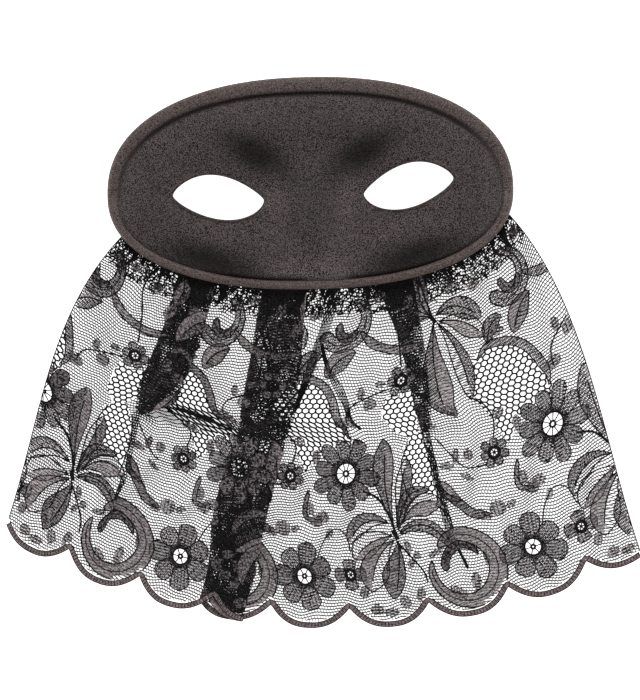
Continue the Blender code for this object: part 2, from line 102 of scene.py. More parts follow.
# Lace veil
LACE_WALL = 1.0
LACE_WIDTH = 345.0
SCALLOP_PITCH = 36.0
SCALLOP_DEPTH = 9.0
SCALLOP_POWER = 2.4
SCALLOP_START = -3.0
LACE_LENGTH = 146.0
HEADING_TUCK = 2.2
HEADING_LEFT_Y = -17.8
HEADING_RIGHT_Y = -10.7
HEM_RADIUS = 290.0
HEM_MIDDLE_X = 16.0
HEM_LOW_Y = -185.0
HEM_LEFT_DEGREES = 31.8
HEM_RIGHT_DEGREES = 25.6
FAN_DEGREES = 18.0
FAN_TURN_DEGREES = -1.2
FAN_MIDDLE = 0.53
FAN_SPREAD = 0.17
FLARE_DEGREES = 27.0
CROWDING = 0.06
LANDING = 60.0
GATHER_COUNT = 24
GATHER_SLOPE = 0.6
GATHER_LENGTH = 46.0
PRESSED_LENGTH = 14.0
PRESSED_SHARE = 0.2
SEWN_THREAD = 0.3
LAYER_PITCH = 1.8
PLEAT_APPROACH = 14.0
FOLD_ROOM = 1.15
CALM_END = 28.8
VEIL_ROWS = 64
VEIL_STEPS = 1801
HEADING_STEPS = 1441

# Moulded forms of the mask: place and half size in shares of its half width and half
# height, rise in millimetres, and whether the form is repeated on the other side
FORM_COLUMNS = ("name", "x", "y", "half_x", "half_y", "rise", "mirrored")
FORMS = (
    ("brow", 0.40, 0.53, 0.42, 0.24, 2.2, True),
    ("eye_socket", 0.47, -0.02, 0.24, 0.26, -3.0, True),
    ("bridge_dent", 0.17, 0.34, 0.10, 0.22, -3.4, True),
    ("cheek_hollow", 0.52, -0.59, 0.20, 0.16, -2.6, True),
    ("forehead_dip", 0.0, 0.57, 0.12, 0.24, -1.0, False),
)

# Pleats of the veil at six shares of its length: the fold's left side in shares of the
# spread veil's width, and the fold's width
PLEAT_ROWS = (0.0, 0.20, 0.42, 0.50, 0.70, 1.0)
PLEAT_COLUMNS = ("name", "left_sides", "widths")
PLEATS = (
    ("left_dart", (0.164, 0.166, 0.146, 0.150, 0.155, 0.140), (22.0, 21.0, 20.0, 4.5, 3.0, 0.0)),
    ("centre_pleat", (0.364, 0.362, 0.346, 0.338, 0.312, 0.316), (23.0, 24.5, 26.0, 27.0, 27.0, 22.5)),
    ("right_dart", (0.625, 0.660, 0.678, 0.687, 0.712, 0.742), (19.0, 12.0, 8.0, 5.0, 2.5, 0.0)),
)

# Seam groove between the mask and its binding: how deep it is, from 0 to 1, by direction
# from the mask's middle in degrees; the same depth also sets how dark the groove's painted shadow is
GROOVE_COLUMNS = ("degrees", "depth")
GROOVE = (
    (0, 0.1), (12, 0.5), (24, 1.0), (158, 1.0), (172, 0.5), (184, 0.1), (216, 0.2),
    (228, 0.9), (262, 0.9), (270, 0.1), (288, 0.1), (296, 0.9), (318, 0.9), (344, 0.4),
    (360, 0.1),
)
GROOVE_DROP = 2.4
GROOVE_REACH = 1.1

# Painted shading of the satin: places where its colour is darkened as painted shade, or
# lightened as painted light where the depth is below zero, in millimetres and degrees on the
# right half, which the left half repeats
PAINTED_SHADING_NAME = "painted_shading"
PAINTED_SHADING_COLUMNS = ("name", "x", "y", "half_x", "half_y", "degrees", "depth")
PAINTED_SHADING_SPOTS = (
    ("under_brow", 23.0, 16.0, 17.0, 7.4, 31.0, 0.82),
    ("brow_foot", 38.0, 25.0, 20.0, 6.0, 12.0, 0.08),
    ("brow_top", 0.0, 30.0, 26.0, 9.0, 0.0, 0.12),
    ("cheek", 45.0, -30.0, 22.0, 6.6, 16.0, 0.84),
    ("under_eye", 38.0, -18.0, 20.0, 5.0, 8.0, -0.24),
    ("nose_side", 16.0, -5.0, 4.5, 11.0, -12.0, -0.24),
    ("nose_ridge", 0.0, -6.0, 10.0, 16.0, 0.0, 0.30),
    ("nose_foot", 0.0, -36.0, 21.0, 7.0, 0.0, -0.56),
    ("far_cheek", 70.0, -8.0, 9.0, 14.0, 0.0, 0.14),
)
PAINTED_SHADING_POWER = 1.35
# Painted shadow down in the seam groove: its darkness, reach, serration at the seam's puckers and edge
# sharpness
SEAM_PAINTED_SHADOW = 0.97
SEAM_SHADOW_REACH = 1.15
SEAM_SHADOW_SERRATION = 0.45
SEAM_SHADOW_POWER = 4.0
# Rings of shell mesh points just inside its outer edge, for the seam groove
SEAM_RINGS = (0.5, 1.0, 1.5, 2.0)

# Lace pattern: the repeat is three scallops long
REPEAT = 3 * SCALLOP_PITCH
REPEAT_START = -4.0
ZONE_CELL = 0.25
THREAD_STEP = 1.3
FILL_STEP = 1.9
THREAD_DEPTH = 0.7

# Fine ground: wavering rows of thread, and the short slanted bars between them
ROW_PITCH = 1.3
ROW_THREAD = 0.50
ROW_KNOT = 0.12
BAR_PITCH = 1.3
BAR_THREAD = 0.30
BAR_SLANT = 0.22
WAVER_COLUMNS = ("height", "run_x", "run_t", "bend", "bend_run")
WAVERS = (
    (0.9, 31.0, 170.0, 0.35, 17.0),
    (0.5, 13.0, 58.0, 0.0, 1.0),
)

# Coarse ground: six sided net
COARSE_CELL = 3.0
COARSE_ROW = 2.15
COARSE_ZIGZAG = 0.75
COARSE_THREAD = 0.84

# Hem edging: a ladder of two rails and close bars
EDGING_WIDTH = 3.2
EDGING_GAP = 0.9
EDGING_RAIL = 0.65
EDGING_BAR = 0.62
EDGING_PITCH = 1.5
EDGING_BANDS = (0.65, 1.35, 2.0)
EDGING_BAND = 0.75

# Cords of the motifs
PETAL_POINTS = 16
PETAL_SHOULDER = 0.68
PETAL_ROOT = 0.6
PETAL_UNEVEN = 0.05
PETAL_CORD = 0.5
HEART_CORD = 1.1
HEART_KNOT = 0.26
BAND_WIDTH = 2.0
MIDRIB_SHARE = 0.85
MIDRIB_WIDTH = 0.72
OUTLINE_WIDTH = 0.6
SHORTEST_THREAD = 0.5
CREASE_THREAD = 0.42

# Gathered heading: small tucks sewn in under the rim, and the bunched net between them
TUCK_SEED = 11
TUCK_COUNT = 84
TUCK_LENGTHS = (4.0, 19.0)
TUCK_HALF_WIDTHS = (0.6, 2.4)
TUCK_SPACING = 0.62
TUCK_LEAN = 0.30
TUCK_SWAY = 0.7
TUCK_SWAY_RUN = 1.7
TUCK_THREAD = 0.60
BUNCH_COUNT = 3200
BUNCH_DEPTHS = (1.0, 14.0)
BUNCH_LENGTHS = (1.4, 4.0)
BUNCH_LEAN_DEGREES = 88.0

# Creases, where the lace is folded on itself or drawn together in a strip: the points it
# passes through, its width there, and the spacing of its threads
CREASE_COLUMNS = ("name", "points", "widths", "spacing")
CREASES = (
    ("middle_crease", ((209.5, 1.0), (209.5, 16.0), (208.4, 28.0), (205.0, 45.0), (202.0, 58.0)),
     (4.6, 4.4, 3.8, 3.2, 1.0), 0.62),
    ("branch_crease", ((210.0, 27.0), (214.5, 38.0), (219.5, 45.5), (224.5, 54.5), (228.5, 66.0)),
     (1.2, 1.6, 3.2, 2.2, 1.0), 0.62),
    ("right_crease", ((257.5, 78.0), (261.0, 97.0), (264.0, 115.0), (268.7, 126.0), (270.5, 134.0)),
     (2.6, 2.4, 2.2, 2.4, 1.0), 0.62),
    ("dart_crease", ((90.0, 64.2), (95.5, 64.2), (100.4, 64.8), (105.0, 66.0), (110.0, 68.6)),
     (0.8, 1.6, 2.6, 2.2, 0.8), 0.62),
    # Dense black threads down the pleat's lower part: drawn-together net, and painted shade in the fold
    ("pleat_foot", ((110.5, 104.0), (110.5, 116.0), (110.8, 128.0), (111.0, 140.0), (111.5, 150.0)),
     (10.0, 22.0, 20.0, 18.5, 16.0), 0.85),
)

# Flowers: middle, number of petals, reach, radius of the open heart, turn, petals' share
# of the room they have
FLOWER_COLUMNS = ("name", "x", "t", "petals", "reach", "heart", "degrees", "room")
FLOWERS = (
    ("big_daisy", 4.0, 85.5, 10, 16.2, 5.0, 12.0, 1.0),
    ("small_daisy", 84.0, 87.0, 7, 6.6, 2.1, 20.0, 1.0),
    ("upper_daisy", 36.0, 46.0, 6, 6.4, 2.1, 0.0, 1.0),
    ("hem_flower", 89.0, 132.0, 7, 14.6, 3.9, 76.0, 1.06),
    ("cusp_flower", 3.5, 131.0, 4, 7.2, 2.0, 0.0, 0.95),
)

# Leaves: root, bend and tip of the spine, half widths on its left and right seen from the
# root, share of the spine where the leaf is broadest, and the filling of each half
LEAF_COLUMNS = ("name", "root", "bend", "tip", "left", "right", "broadest", "left_fill", "right_fill")
LEAVES = (
    ("long_bud", (27.2, 112.0), (22.0, 92.0), (23.4, 71.0), 5.7, 4.4, 0.70, "dense", "light"),
    ("second_bud", (28.2, 111.0), (31.0, 96.0), (34.0, 80.5), 2.9, 4.7, 0.66, "ribbed", "dense"),
    ("upper_right_band", (29.0, 112.5), (31.0, 92.0), (45.0, 96.5), 2.6, 3.1, 0.55, "dense", "dense"),
    ("upper_right_leaf", (31.0, 109.5), (38.0, 96.0), (50.5, 103.5), 3.4, 7.0, 0.62, "ribbed", "light"),
    ("slender_leaf", (29.4, 114.0), (43.0, 104.5), (53.0, 124.0), 2.5, 2.9, 0.45, "dense", "dense"),
    ("left_leaf", (24.5, 109.0), (11.0, 103.0), (4.5, 117.5), 3.6, 4.7, 0.60, "ribbed", "dense"),
    ("left_leaf_low", (25.5, 114.5), (13.0, 115.5), (6.5, 124.5), 5.2, 6.0, 0.60, "light", "ribbed"),
    ("lower_left_leaf", (26.6, 116.5), (15.0, 123.0), (12.5, 139.0), 7.3, 6.5, 0.64, "ribbed", "light"),
    ("pointed_leaf", (28.4, 117.0), (28.5, 131.0), (22.0, 143.0), 3.1, 7.5, 0.62, "dense", "dense"),
    ("upper_curl_leaf", (14.0, 31.0), (6.0, 32.0), (2.0, 42.3), 4.7, 4.4, 0.50, "dense", "light"),
    ("drooping_leaf", (76.0, 23.5), (68.0, 45.0), (74.5, 67.0), 6.5, 6.5, 0.66, "light", "dense"),
    ("side_leaf", (77.5, 24.0), (87.0, 42.0), (85.0, 62.0), 3.9, 4.2, 0.60, "dense", "ribbed"),
    ("shoulder_leaf", (76.0, 21.0), (60.0, 15.0), (53.0, 33.0), 4.7, 5.7, 0.60, "dense", "light"),
    ("bunch_leaf", (78.0, 21.0), (90.0, 15.0), (98.0, 29.0), 4.7, 4.9, 0.60, "dense", "dense"),
    ("bunch_leaf_low", (78.5, 24.0), (90.0, 24.0), (97.5, 37.0), 3.9, 5.5, 0.60, "ribbed", "light"),
    ("heading_leaf", (75.0, 20.0), (70.0, 10.0), (78.0, 2.0), 4.9, 4.4, 0.55, "dense", "light"),
    ("arch_leaf", (97.5, 41.0), (100.0, 31.0), (107.0, 32.5), 3.4, 3.6, 0.55, "dense", "dense"),
    ("hem_bud", (66.0, 104.0), (59.0, 101.0), (56.0, 93.0), 2.9, 3.1, 0.60, "dense", "light"),
    ("side_bud", (60.0, 56.0), (55.0, 62.0), (57.0, 71.0), 2.9, 3.4, 0.60, "dense", "light"),
    ("heading_bud", (45.0, 3.0), (50.0, 9.0), (46.0, 17.0), 3.9, 4.2, 0.55, "dense", "light"),
)

# Scroll bands: centre, reach across and down, start and end in degrees from +x turning
# towards the hem, and widths at the start, middle and end
SCROLL_COLUMNS = ("name", "x", "t", "across", "down", "start", "end", "widths", "fill")
SCROLLS = (
    ("hem_scroll", 57.0, 133.0, 15.0, 15.2, -135.0, 200.0, (5.6, 8.2, 2.6), "light"),
    ("hem_scroll_head", 57.0, 131.5, 8.6, 9.0, -20.0, -192.0, (1.4, 4.4, 3.0), "black"),
    ("upper_scroll", 6.5, 18.0, 9.2, 9.8, 160.0, -80.0, (5.6, 6.4, 2.6), "dense"),
    ("upper_scroll_head", 8.5, 19.5, 4.4, 5.0, 20.0, 200.0, (2.2, 4.0, 2.8), "black"),
)

# Stems, tendrils and cords: the points that they pass through, and their width
STEM_COLUMNS = ("name", "points", "width")
STEMS = (
    ("daisy_stem", ((12.5, 93.5), (19.8, 97.5), (24.6, 105.0), (27.6, 114.0)), 1.1),
    ("left_tendril", ((27.5, 117.0), (33.0, 124.0), (38.0, 131.5), (39.0, 137.0)), 0.8),
    ("scroll_tendril", ((48.0, 104.0), (53.0, 109.0), (55.0, 116.0)), 0.9),
    ("leaf_tendril", ((5.0, 121.0), (3.0, 113.0), (-2.5, 110.5), (-8.0, 116.0), (-12.0, 124.0)), 0.6),
    ("small_daisy_stem", ((80.0, 91.0), (70.0, 90.0), (63.5, 82.0), (58.0, 74.0)), 0.6),
    ("arch", ((91.0, 46.0), (97.4, 41.5), (107.6, 44.4), (113.7, 51.4), (117.4, 63.0), (115.8, 70.0)), 3.4),
    ("upper_stem", ((31.0, 49.0), (24.5, 50.8), (15.0, 55.5), (12.4, 63.7)), 0.7),
    ("bunch_stem", ((76.0, 2.0), (75.5, 12.0), (76.2, 24.0)), 1.2),
    ("node_knot", ((26.0, 112.0), (28.4, 116.5)), 1.9),
    ("upper_node_knot", ((75.4, 20.5), (77.0, 24.0)), 1.9),
    ("hem_band", ((58.5, 100.0), (64.0, 104.5), (69.0, 110.5), (76.0, 112.5)), 3.8),
    ("shoulder_band", ((50.0, 40.0), (56.0, 36.0), (62.0, 40.0), (64.0, 49.0)), 2.8),
    ("net_border_right", ((34.5, 74.0), (31.5, 84.0), (34.0, 95.0), (36.5, 101.0)), 0.6),
    ("net_border_left", ((47.0, 74.0), (49.5, 86.0), (48.5, 98.0), (47.5, 104.0)), 0.6),
    ("outer_tendril", ((93.4, 93.0), (91.6, 100.0), (92.0, 105.5), (98.0, 107.0)), 2.0),
    ("curl_to_arch", ((84.5, 60.0), (88.0, 66.0), (86.5, 76.0), (85.0, 81.0)), 0.7),
    ("heading_cord", ((30.0, 3.0), (28.0, 14.0), (33.0, 27.0), (35.5, 39.5)), 0.8),
    ("heading_band", ((14.0, 22.0), (23.0, 29.0), (36.0, 32.5), (49.0, 31.0)), 3.6),
    ("daisy_cord", ((60.0, 60.0), (50.0, 55.0), (43.0, 53.0), (40.5, 49.5)), 0.6),
)

# Loose woven spots: middle, half sizes and turn
SPOT_COLUMNS = ("x", "t", "half_x", "half_t", "degrees")
SPOTS = (
    (9.0, 139.0, 2.2, 3.0, 20.0), (13.7, 147.0, 3.0, 2.4, 0.0), (26.9, 144.5, 2.6, 3.2, -20.0),
    (34.6, 142.0, 2.2, 3.4, 15.0), (20.0, 148.6, 3.6, 1.8, 0.0), (60.4, 140.2, 2.2, 4.2, 10.0),
    (51.5, 143.5, 2.4, 4.4, -50.0), (68.0, 131.0, 1.4, 3.6, 0.0), (-7.5, 105.0, 3.0, 2.6, 30.0),
    (-14.0, 101.5, 2.2, 3.0, 0.0), (-5.0, 112.5, 1.6, 2.6, 20.0), (-11.5, 106.8, 2.0, 2.0, 0.0),
    (32.6, 120.2, 1.4, 3.2, -20.0), (36.5, 124.5, 1.8, 2.0, 0.0), (33.0, 128.0, 1.6, 2.2, 10.0),
    (44.8, 124.4, 3.4, 1.6, -20.0), (80.0, 111.0, 3.8, 3.6, 0.0), (97.0, 107.0, 3.2, 3.0, 0.0),
    (74.0, 113.2, 3.2, 1.8, 10.0), (86.2, 111.0, 2.6, 1.6, -20.0), (66.0, 84.0, 1.6, 3.4, 15.0),
    (72.0, 84.6, 2.4, 2.6, 0.0), (61.0, 87.6, 3.4, 1.8, 10.0), (69.4, 94.0, 3.6, 1.2, 35.0),
    (97.0, 78.0, 2.0, 3.4, 0.0), (90.5, 71.0, 3.4, 1.8, -20.0), (103.0, 37.0, 3.2, 2.0, 15.0),
    (45.0, 20.0, 2.8, 4.0, 25.0), (52.0, 45.0, 2.2, 3.2, -20.0), (58.0, 50.0, 3.0, 2.2, 20.0),
    (23.0, 55.0, 3.0, 2.8, 0.0), (13.0, 62.5, 3.2, 2.8, 0.0), (60.0, 68.0, 2.4, 2.0, 0.0),
    (18.5, 50.0, 1.8, 2.8, 0.0), (26.5, 46.5, 2.4, 1.6, 0.0), (57.0, 18.0, 2.6, 3.4, 0.0),
    (88.0, 10.0, 2.8, 3.6, 30.0), (20.5, 8.0, 3.0, 2.4, 0.0), (35.0, 12.0, 2.4, 3.0, 0.0),
    (48.0, 8.0, 3.2, 2.2, 20.0), (62.0, 7.0, 2.6, 3.0, 0.0), (100.0, 14.0, 3.4, 2.2, -20.0),
)

# Coarse net: outlines of its patches
COARSE_COLUMNS = ("name", "points")
COARSE_PATCHES = (
    ("under_arch", ((-18.0, 44.0), (-10.0, 42.0), (0.0, 45.0), (6.0, 52.0), (9.5, 62.0), (8.5, 72.0),
                    (4.0, 74.0), (-4.0, 73.0), (-10.0, 77.0), (-16.0, 84.0), (-20.0, 76.0),
                    (-21.0, 58.0))),
    ("beside_daisy", ((33.0, 76.0), (38.0, 70.0), (45.0, 73.0), (48.5, 84.0), (48.0, 98.0),
                      (45.0, 102.0), (38.0, 97.0), (34.0, 90.0))),
    ("upper_daisy_net", ((30.0, 52.0), (36.0, 53.0), (42.0, 52.0), (44.0, 60.0), (40.0, 70.0),
                         (33.0, 70.0), (29.0, 62.0))),
)

# Fillings: thread width, and direction and spacing of each set of threads
FILL_COLUMNS = ("name", "thread", "sets")
FILLS = (
    ("dense", 0.52, ((62.0, 0.66), (-28.0, 1.5))),
    ("black", 0.62, ((62.0, 0.62), (-28.0, 1.3))),
    ("light", 0.46, ((75.0, 0.56), (-15.0, 1.9))),
    ("ribbed", 0.34, ((0.0, 0.95),)),
    ("spot", 0.52, ((0.0, 0.68), (90.0, 1.6))),
)

HALF_WIDTH = MASK_WIDTH / 2
HALF_HEIGHT = (MASK_TOP + MASK_BOTTOM) / 2
TEMPLE_X = HALF_WIDTH - (BINDING_TOP_WIDTH + BINDING_LOW_WIDTH) / 4

binding_low, binding_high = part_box("edge_binding")
MASK_MIDDLE = np.array((
    (binding_low.x + binding_high.x) / 2, binding_high.y - MASK_TOP * MM, 0.0))


def named(columns, row):
    """Return a table row as a dictionary of its named columns."""
    return dict(zip(columns, row))


def smooth_step(value):
    """Return a smooth 0 to 1 ramp of a value that is clipped to 0 and 1."""
    value = np.clip(value, 0.0, 1.0)
    return value * value * (3.0 - 2.0 * value)


def half_height(y):
    """Return the outline's reach above or below its widest line, whichever side y is on."""
    return np.where(y > 0.0, MASK_TOP, MASK_BOTTOM)


def rim_height(x, y):
    """Return the height of the rim plane: the arch over the face and the nose's lift."""
    arch = ARCH_RISE * (1.0 - (x / TEMPLE_X) ** 2)
    bridge = smooth_step((BRIDGE_Y - y) / (BRIDGE_Y - NOSE_FULL_Y))
    nose = NOSE_RISE * np.exp(-(x / NOSE_HALF_WIDTH) ** 2) * bridge
    heading = HEADING_ROOM * smooth_step(-y / HEADING_ROOM_RUN)
    return np.maximum(arch, 0.0) + nose + heading


def moulded_forms(x, y):
    """Return the rise of the brows, sockets, dents and cheeks at a place on the mask."""
    rise = np.zeros_like(x)
    for row in FORMS:
        form = named(FORM_COLUMNS, row)
        for side in (1.0, -1.0)[:2 if form["mirrored"] else 1]:
            across = (x - side * form["x"] * HALF_WIDTH) / (form["half_x"] * HALF_WIDTH)
            along = (y - form["y"] * HALF_HEIGHT) / (form["half_y"] * HALF_HEIGHT)
            rise = rise + form["rise"] * np.exp(-across ** 2 - along ** 2)
    return rise


def mask_height(x, y):
    """Return the height of the middle of the mask's wall over the table."""
    reach = (np.abs(x / HALF_WIDTH) ** OUTLINE_POWER
             + np.abs(y / half_height(y)) ** OUTLINE_POWER) ** (1.0 / OUTLINE_POWER)
    crown = 1.0 - np.clip(reach, 0.0, 1.0) ** CROWN_POWER
    forms = moulded_forms(x, y) * np.clip(crown * 2.0, 0.0, 1.0)
    return rim_height(x, y) + BINDING_HEIGHT / 2 + CROWN_RISE * crown + forms


def outline_points(angles):
    """Return points of the mask's outline and their outward normals, as rows of X and Y."""
    cosine = np.cos(angles)
    sine = np.sin(angles)
    power = 2.0 / OUTLINE_POWER
    x = HALF_WIDTH * np.sign(cosine) * np.abs(cosine) ** power
    y = half_height(sine) * np.sign(sine) * np.abs(sine) ** power
    slope_x = np.sign(x) * np.abs(x / HALF_WIDTH) ** (OUTLINE_POWER - 1.0) / HALF_WIDTH
    reach_y = half_height(y)
    slope_y = np.sign(y) * np.abs(y / reach_y) ** (OUTLINE_POWER - 1.0) / reach_y
    normals = np.stack((slope_x, slope_y), axis=1)
    normals /= np.linalg.norm(normals, axis=1)[:, None]
    return np.stack((x, y), axis=1), normals


def even_outline(count):
    """Return outline points at even distances round the mask, with their normals."""
    fine = np.linspace(0.0, 2.0 * math.pi, OUTLINE_STEPS)
    points = outline_points(fine)[0]
    lengths = np.linalg.norm(np.diff(points, axis=0), axis=1)
    travelled = np.concatenate(([0.0], np.cumsum(lengths)))
    marks = np.linspace(0.0, travelled[-1], count, endpoint=False)
    return outline_points(np.interp(marks, travelled, fine))


def binding_width(y):
    """Return the binding's width: broad along the brow and narrow below."""
    share = smooth_step((y + MASK_BOTTOM) / (MASK_TOP + MASK_BOTTOM))
    return BINDING_LOW_WIDTH + (BINDING_TOP_WIDTH - BINDING_LOW_WIDTH) * share


def groove_depth(x, y):
    """Return how deep the seam groove is in the direction of a place, from 0 to 1."""
    degrees = np.degrees(np.arctan2(y, x)) % 360.0
    marks, depths = zip(*GROOVE)
    return np.interp(degrees, marks, depths)


def eye_outline(side):
    """Return the almond outline of the eye hole on the given side, anticlockwise."""
    inner = np.array(EYE_INNER)
    outer = np.array(EYE_OUTER)
    share = 0.5 - 0.5 * np.cos(np.linspace(0.0, math.pi, LID_POINTS + 1))
    chord = inner + (outer - inner) * share[:, None]
    upper = LID_RISE * np.sin(math.pi * share ** UPPER_LID_SKEW) ** LID_ROUNDNESS
    lower = LID_DROP * np.sin(math.pi * share ** LOWER_LID_SKEW) ** LID_ROUNDNESS
    below = chord - np.stack((np.zeros_like(lower), lower), axis=1)
    above = chord + np.stack((np.zeros_like(upper), upper), axis=1)
    loop = np.concatenate((below[:-1], above[:0:-1]))
    if side < 0:
        loop = loop[::-1] * (-1.0, 1.0)
    tilt = math.radians(EYE_TILT_DEGREES)
    turned = np.array(((math.cos(tilt), math.sin(tilt)), (-math.sin(tilt), math.cos(tilt))))
    return loop @ turned + EYE_MIDDLE


def loop_normals(loop):
    """Return outward normals at the corners of a closed anticlockwise loop."""
    along = np.roll(loop, -1, axis=0) - np.roll(loop, 1, axis=0)
    normals = np.stack((along[:, 1], -along[:, 0]), axis=1)
    return normals / np.linalg.norm(normals, axis=1)[:, None]


def inside_loop(points, loop):
    """Tell which points lie inside a closed loop, by counting the edges to their right."""
    inside = np.zeros(len(points), dtype=bool)
    for start, end in zip(loop, np.roll(loop, -1, axis=0)):
        crosses = (start[1] > points[:, 1]) != (end[1] > points[:, 1])
        rise = end[1] - start[1]
        run = (points[:, 1] - start[1]) / (rise if rise else 1.0)
        inside ^= crosses & (points[:, 0] < start[0] + run * (end[0] - start[0]))
    return inside


def distance_to_loop(points, loop):
    """Return each point's distance to the nearest edge of a closed loop."""
    nearest = np.full(len(points), np.inf)
    for start, end in zip(loop, np.roll(loop, -1, axis=0)):
        run = end - start
        share = np.clip(((points - start) @ run) / max(run @ run, 1e-12), 0.0, 1.0)
        foot = start + share[:, None] * run
        nearest = np.minimum(nearest, np.linalg.norm(points - foot, axis=1))
    return nearest


def triangulate(outer, holes, inner_points):
    """Return flat points and triangles of an outline with holes and points inside it."""
    loops = [outer] + list(holes)
    points = np.concatenate(loops + [inner_points])
    edges = []
    first = 0
    for loop in loops:
        count = len(loop)
        edges += [(first + i, first + (i + 1) % count) for i in range(count)]
        first += count
    result = delaunay_2d_cdt([Vector(p) for p in points], edges, [], 0, 1e-5)
    flat = np.array([tuple(p) for p in result[0]])
    triangles = np.array([tuple(f) for f in result[2]])
    middles = flat[triangles].mean(axis=1)
    keep = inside_loop(middles, outer)
    for hole in holes:
        keep &= ~inside_loop(middles, hole)
    triangles = triangles[keep]
    a, b, c = (flat[triangles[:, i]] for i in range(3))
    turn = (b[:, 0] - a[:, 0]) * (c[:, 1] - a[:, 1]) - (b[:, 1] - a[:, 1]) * (c[:, 0] - a[:, 0])
    triangles[turn < 0] = triangles[turn < 0][:, ::-1]
    used = np.unique(triangles)
    renumber = np.zeros(len(flat), dtype=int)
    renumber[used] = np.arange(len(used))
    return flat[used], renumber[triangles]


def vertex_normals(points, triangles):
    """Return the area weighted normals of a surface at its points."""
    a, b, c = (points[triangles[:, i]] for i in range(3))
    face_normals = np.cross(b - a, c - a)
    normals = np.zeros_like(points)
    for corner in range(3):
        np.add.at(normals, triangles[:, corner], face_normals)
    return normals / np.linalg.norm(normals, axis=1)[:, None]


def add_piece(name, points, faces, material, sharp_degrees=None):
    """Make a mesh piece from points in millimetres, and let it ride on the frame."""
    mesh = bpy.data.meshes.new(name)
    mesh.from_pydata((np.asarray(points) * MM + MASK_MIDDLE).tolist(), [], faces)
    mesh.shade_smooth()
    if sharp_degrees:
        mesh.set_sharp_from_angle(angle=math.radians(sharp_degrees))
    mesh.materials.append(material)
    piece = bpy.data.objects.new(name, mesh)
    bpy.context.scene.collection.objects.link(piece)
    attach(piece, "root")
    return piece


def nearest_points(flat, loop):
    """Return the numbers of the mesh points that lie at the corners of a loop."""
    return [int(np.argmin(np.sum((flat - corner) ** 2, axis=1))) for corner in loop]


def paint_shading(shell, flat, outer):
    """Paint shading into the shell's colour: painted shade in its hollows, painted light in a few places, and
    a painted shadow down in the seam groove.
    """
    light = np.ones(len(flat))
    for row in PAINTED_SHADING_SPOTS:
        painted_shading = named(PAINTED_SHADING_COLUMNS, row)
        turn = math.radians(painted_shading["degrees"])
        across = np.abs(flat[:, 0]) - painted_shading["x"]
        along = flat[:, 1] - painted_shading["y"]
        level = (across * math.cos(turn) + along * math.sin(turn)) / painted_shading["half_x"]
        steep = (along * math.cos(turn) - across * math.sin(turn)) / painted_shading["half_y"]
        light *= 1.0 - painted_shading["depth"] * np.exp(-(level ** 2 + steep ** 2) ** PAINTED_SHADING_POWER)
    # Painted shadow down in the seam groove, darkest where the groove is deep
    groove = groove_depth(flat[:, 0], flat[:, 1])
    from_edge = distance_to_loop(flat, outer)
    turns = SEAM_PUCKERS * np.arctan2(flat[:, 1] / HALF_HEIGHT, flat[:, 0] / HALF_WIDTH)
    reach = SEAM_SHADOW_REACH * (1.0 + SEAM_SHADOW_SERRATION * np.cos(turns))
    light *= 1.0 - SEAM_PAINTED_SHADOW * groove * np.exp(-(from_edge / reach) ** SEAM_SHADOW_POWER)
    colours = np.column_stack((light, light, light, np.ones(len(flat))))
    shades = shell.data.color_attributes.new(PAINTED_SHADING_NAME, "FLOAT_COLOR", "POINT")
    shades.data.foreach_set("color", colours.ravel())


def make_shell(material):
    """Make the moulded satin shell, with rounded lips round the eye holes."""
    rim, normals = even_outline(SHELL_STATIONS)
    inset = binding_width(rim[:, 1]) + CLEARANCE * 0.5
    outer = rim - normals * inset[:, None]
    eyes = []
    towards_hole = []
    for side in (1.0, -1.0):
        loop = eye_outline(side)
        outward = loop_normals(loop)
        eyes.append(loop + outward * LIP_ROUND)
        towards_hole.append(-outward)
    across = np.arange(-HALF_WIDTH, HALF_WIDTH, SHELL_MESH)
    along = np.arange(-HALF_HEIGHT, HALF_HEIGHT + SHELL_MESH, SHELL_MESH * math.sqrt(3.0) / 2)
    grid = np.array([(x + SHELL_MESH / 2 * (row % 2), y)
                     for row, y in enumerate(along) for x in across])
    keep = inside_loop(grid, outer)
    keep &= distance_to_loop(grid, outer) > SEAM_RINGS[-1] + SHELL_MESH * MESH_MARGIN
    for eye in eyes:
        keep &= distance_to_loop(grid, eye) > SHELL_MESH * MESH_MARGIN
        keep &= ~inside_loop(grid, eye)
    rings = [outer - normals * inward for inward in SEAM_RINGS]
    flat, triangles = triangulate(outer, eyes, np.concatenate(rings + [grid[keep]]))
    height = mask_height(flat[:, 0], flat[:, 1])
    from_edge = distance_to_loop(flat, outer)
    dip = GROOVE_DROP * groove_depth(flat[:, 0], flat[:, 1])
    height = height - dip * np.exp(-(from_edge / GROOVE_REACH) ** 2)
    surface = np.column_stack((flat, height))
    up = vertex_normals(surface, triangles)
    count = len(surface)
    top = surface + up * SHELL_WALL / 2
    bottom = surface - up * SHELL_WALL / 2
    points = [top, bottom]
    faces = triangles.tolist() + (triangles[:, ::-1] + count).tolist()
    first = 2 * count
    for loop, inward in zip(eyes, towards_hole):
        corners = nearest_points(flat, loop)
        middle = (top[corners] + bottom[corners]) / 2
        half = (top[corners] - bottom[corners]) / 2
        across = np.column_stack((inward, np.zeros(len(loop))))
        rings = [np.array(corners)]
        for step in range(1, LIP_STEPS):
            turn = math.pi * (0.5 - step / LIP_STEPS)
            points.append(middle + half * math.sin(turn) + across * LIP_ROUND * math.cos(turn))
            rings.append(first + np.arange(len(loop)))
            first += len(loop)
        rings.append(np.array(corners) + count)
        for above, below in zip(rings[:-1], rings[1:]):
            for i in range(len(loop)):
                after = (i + 1) % len(loop)
                faces.append((above[after], above[i], below[i], below[after]))
    edge = nearest_points(flat, outer)
    for i in range(len(edge)):
        after = (i + 1) % len(edge)
        faces.append((edge[i], edge[i] + count, edge[after] + count, edge[after]))
    faces = [tuple(int(c) for c in face) for face in faces]
    points = np.concatenate(points)
    shell = add_piece("satin_shell", points, faces, material)
    # Paint shade and light into the shell's colour
    paint_shading(shell, points[:, :2], outer)
    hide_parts("mask_shell")
    return shell


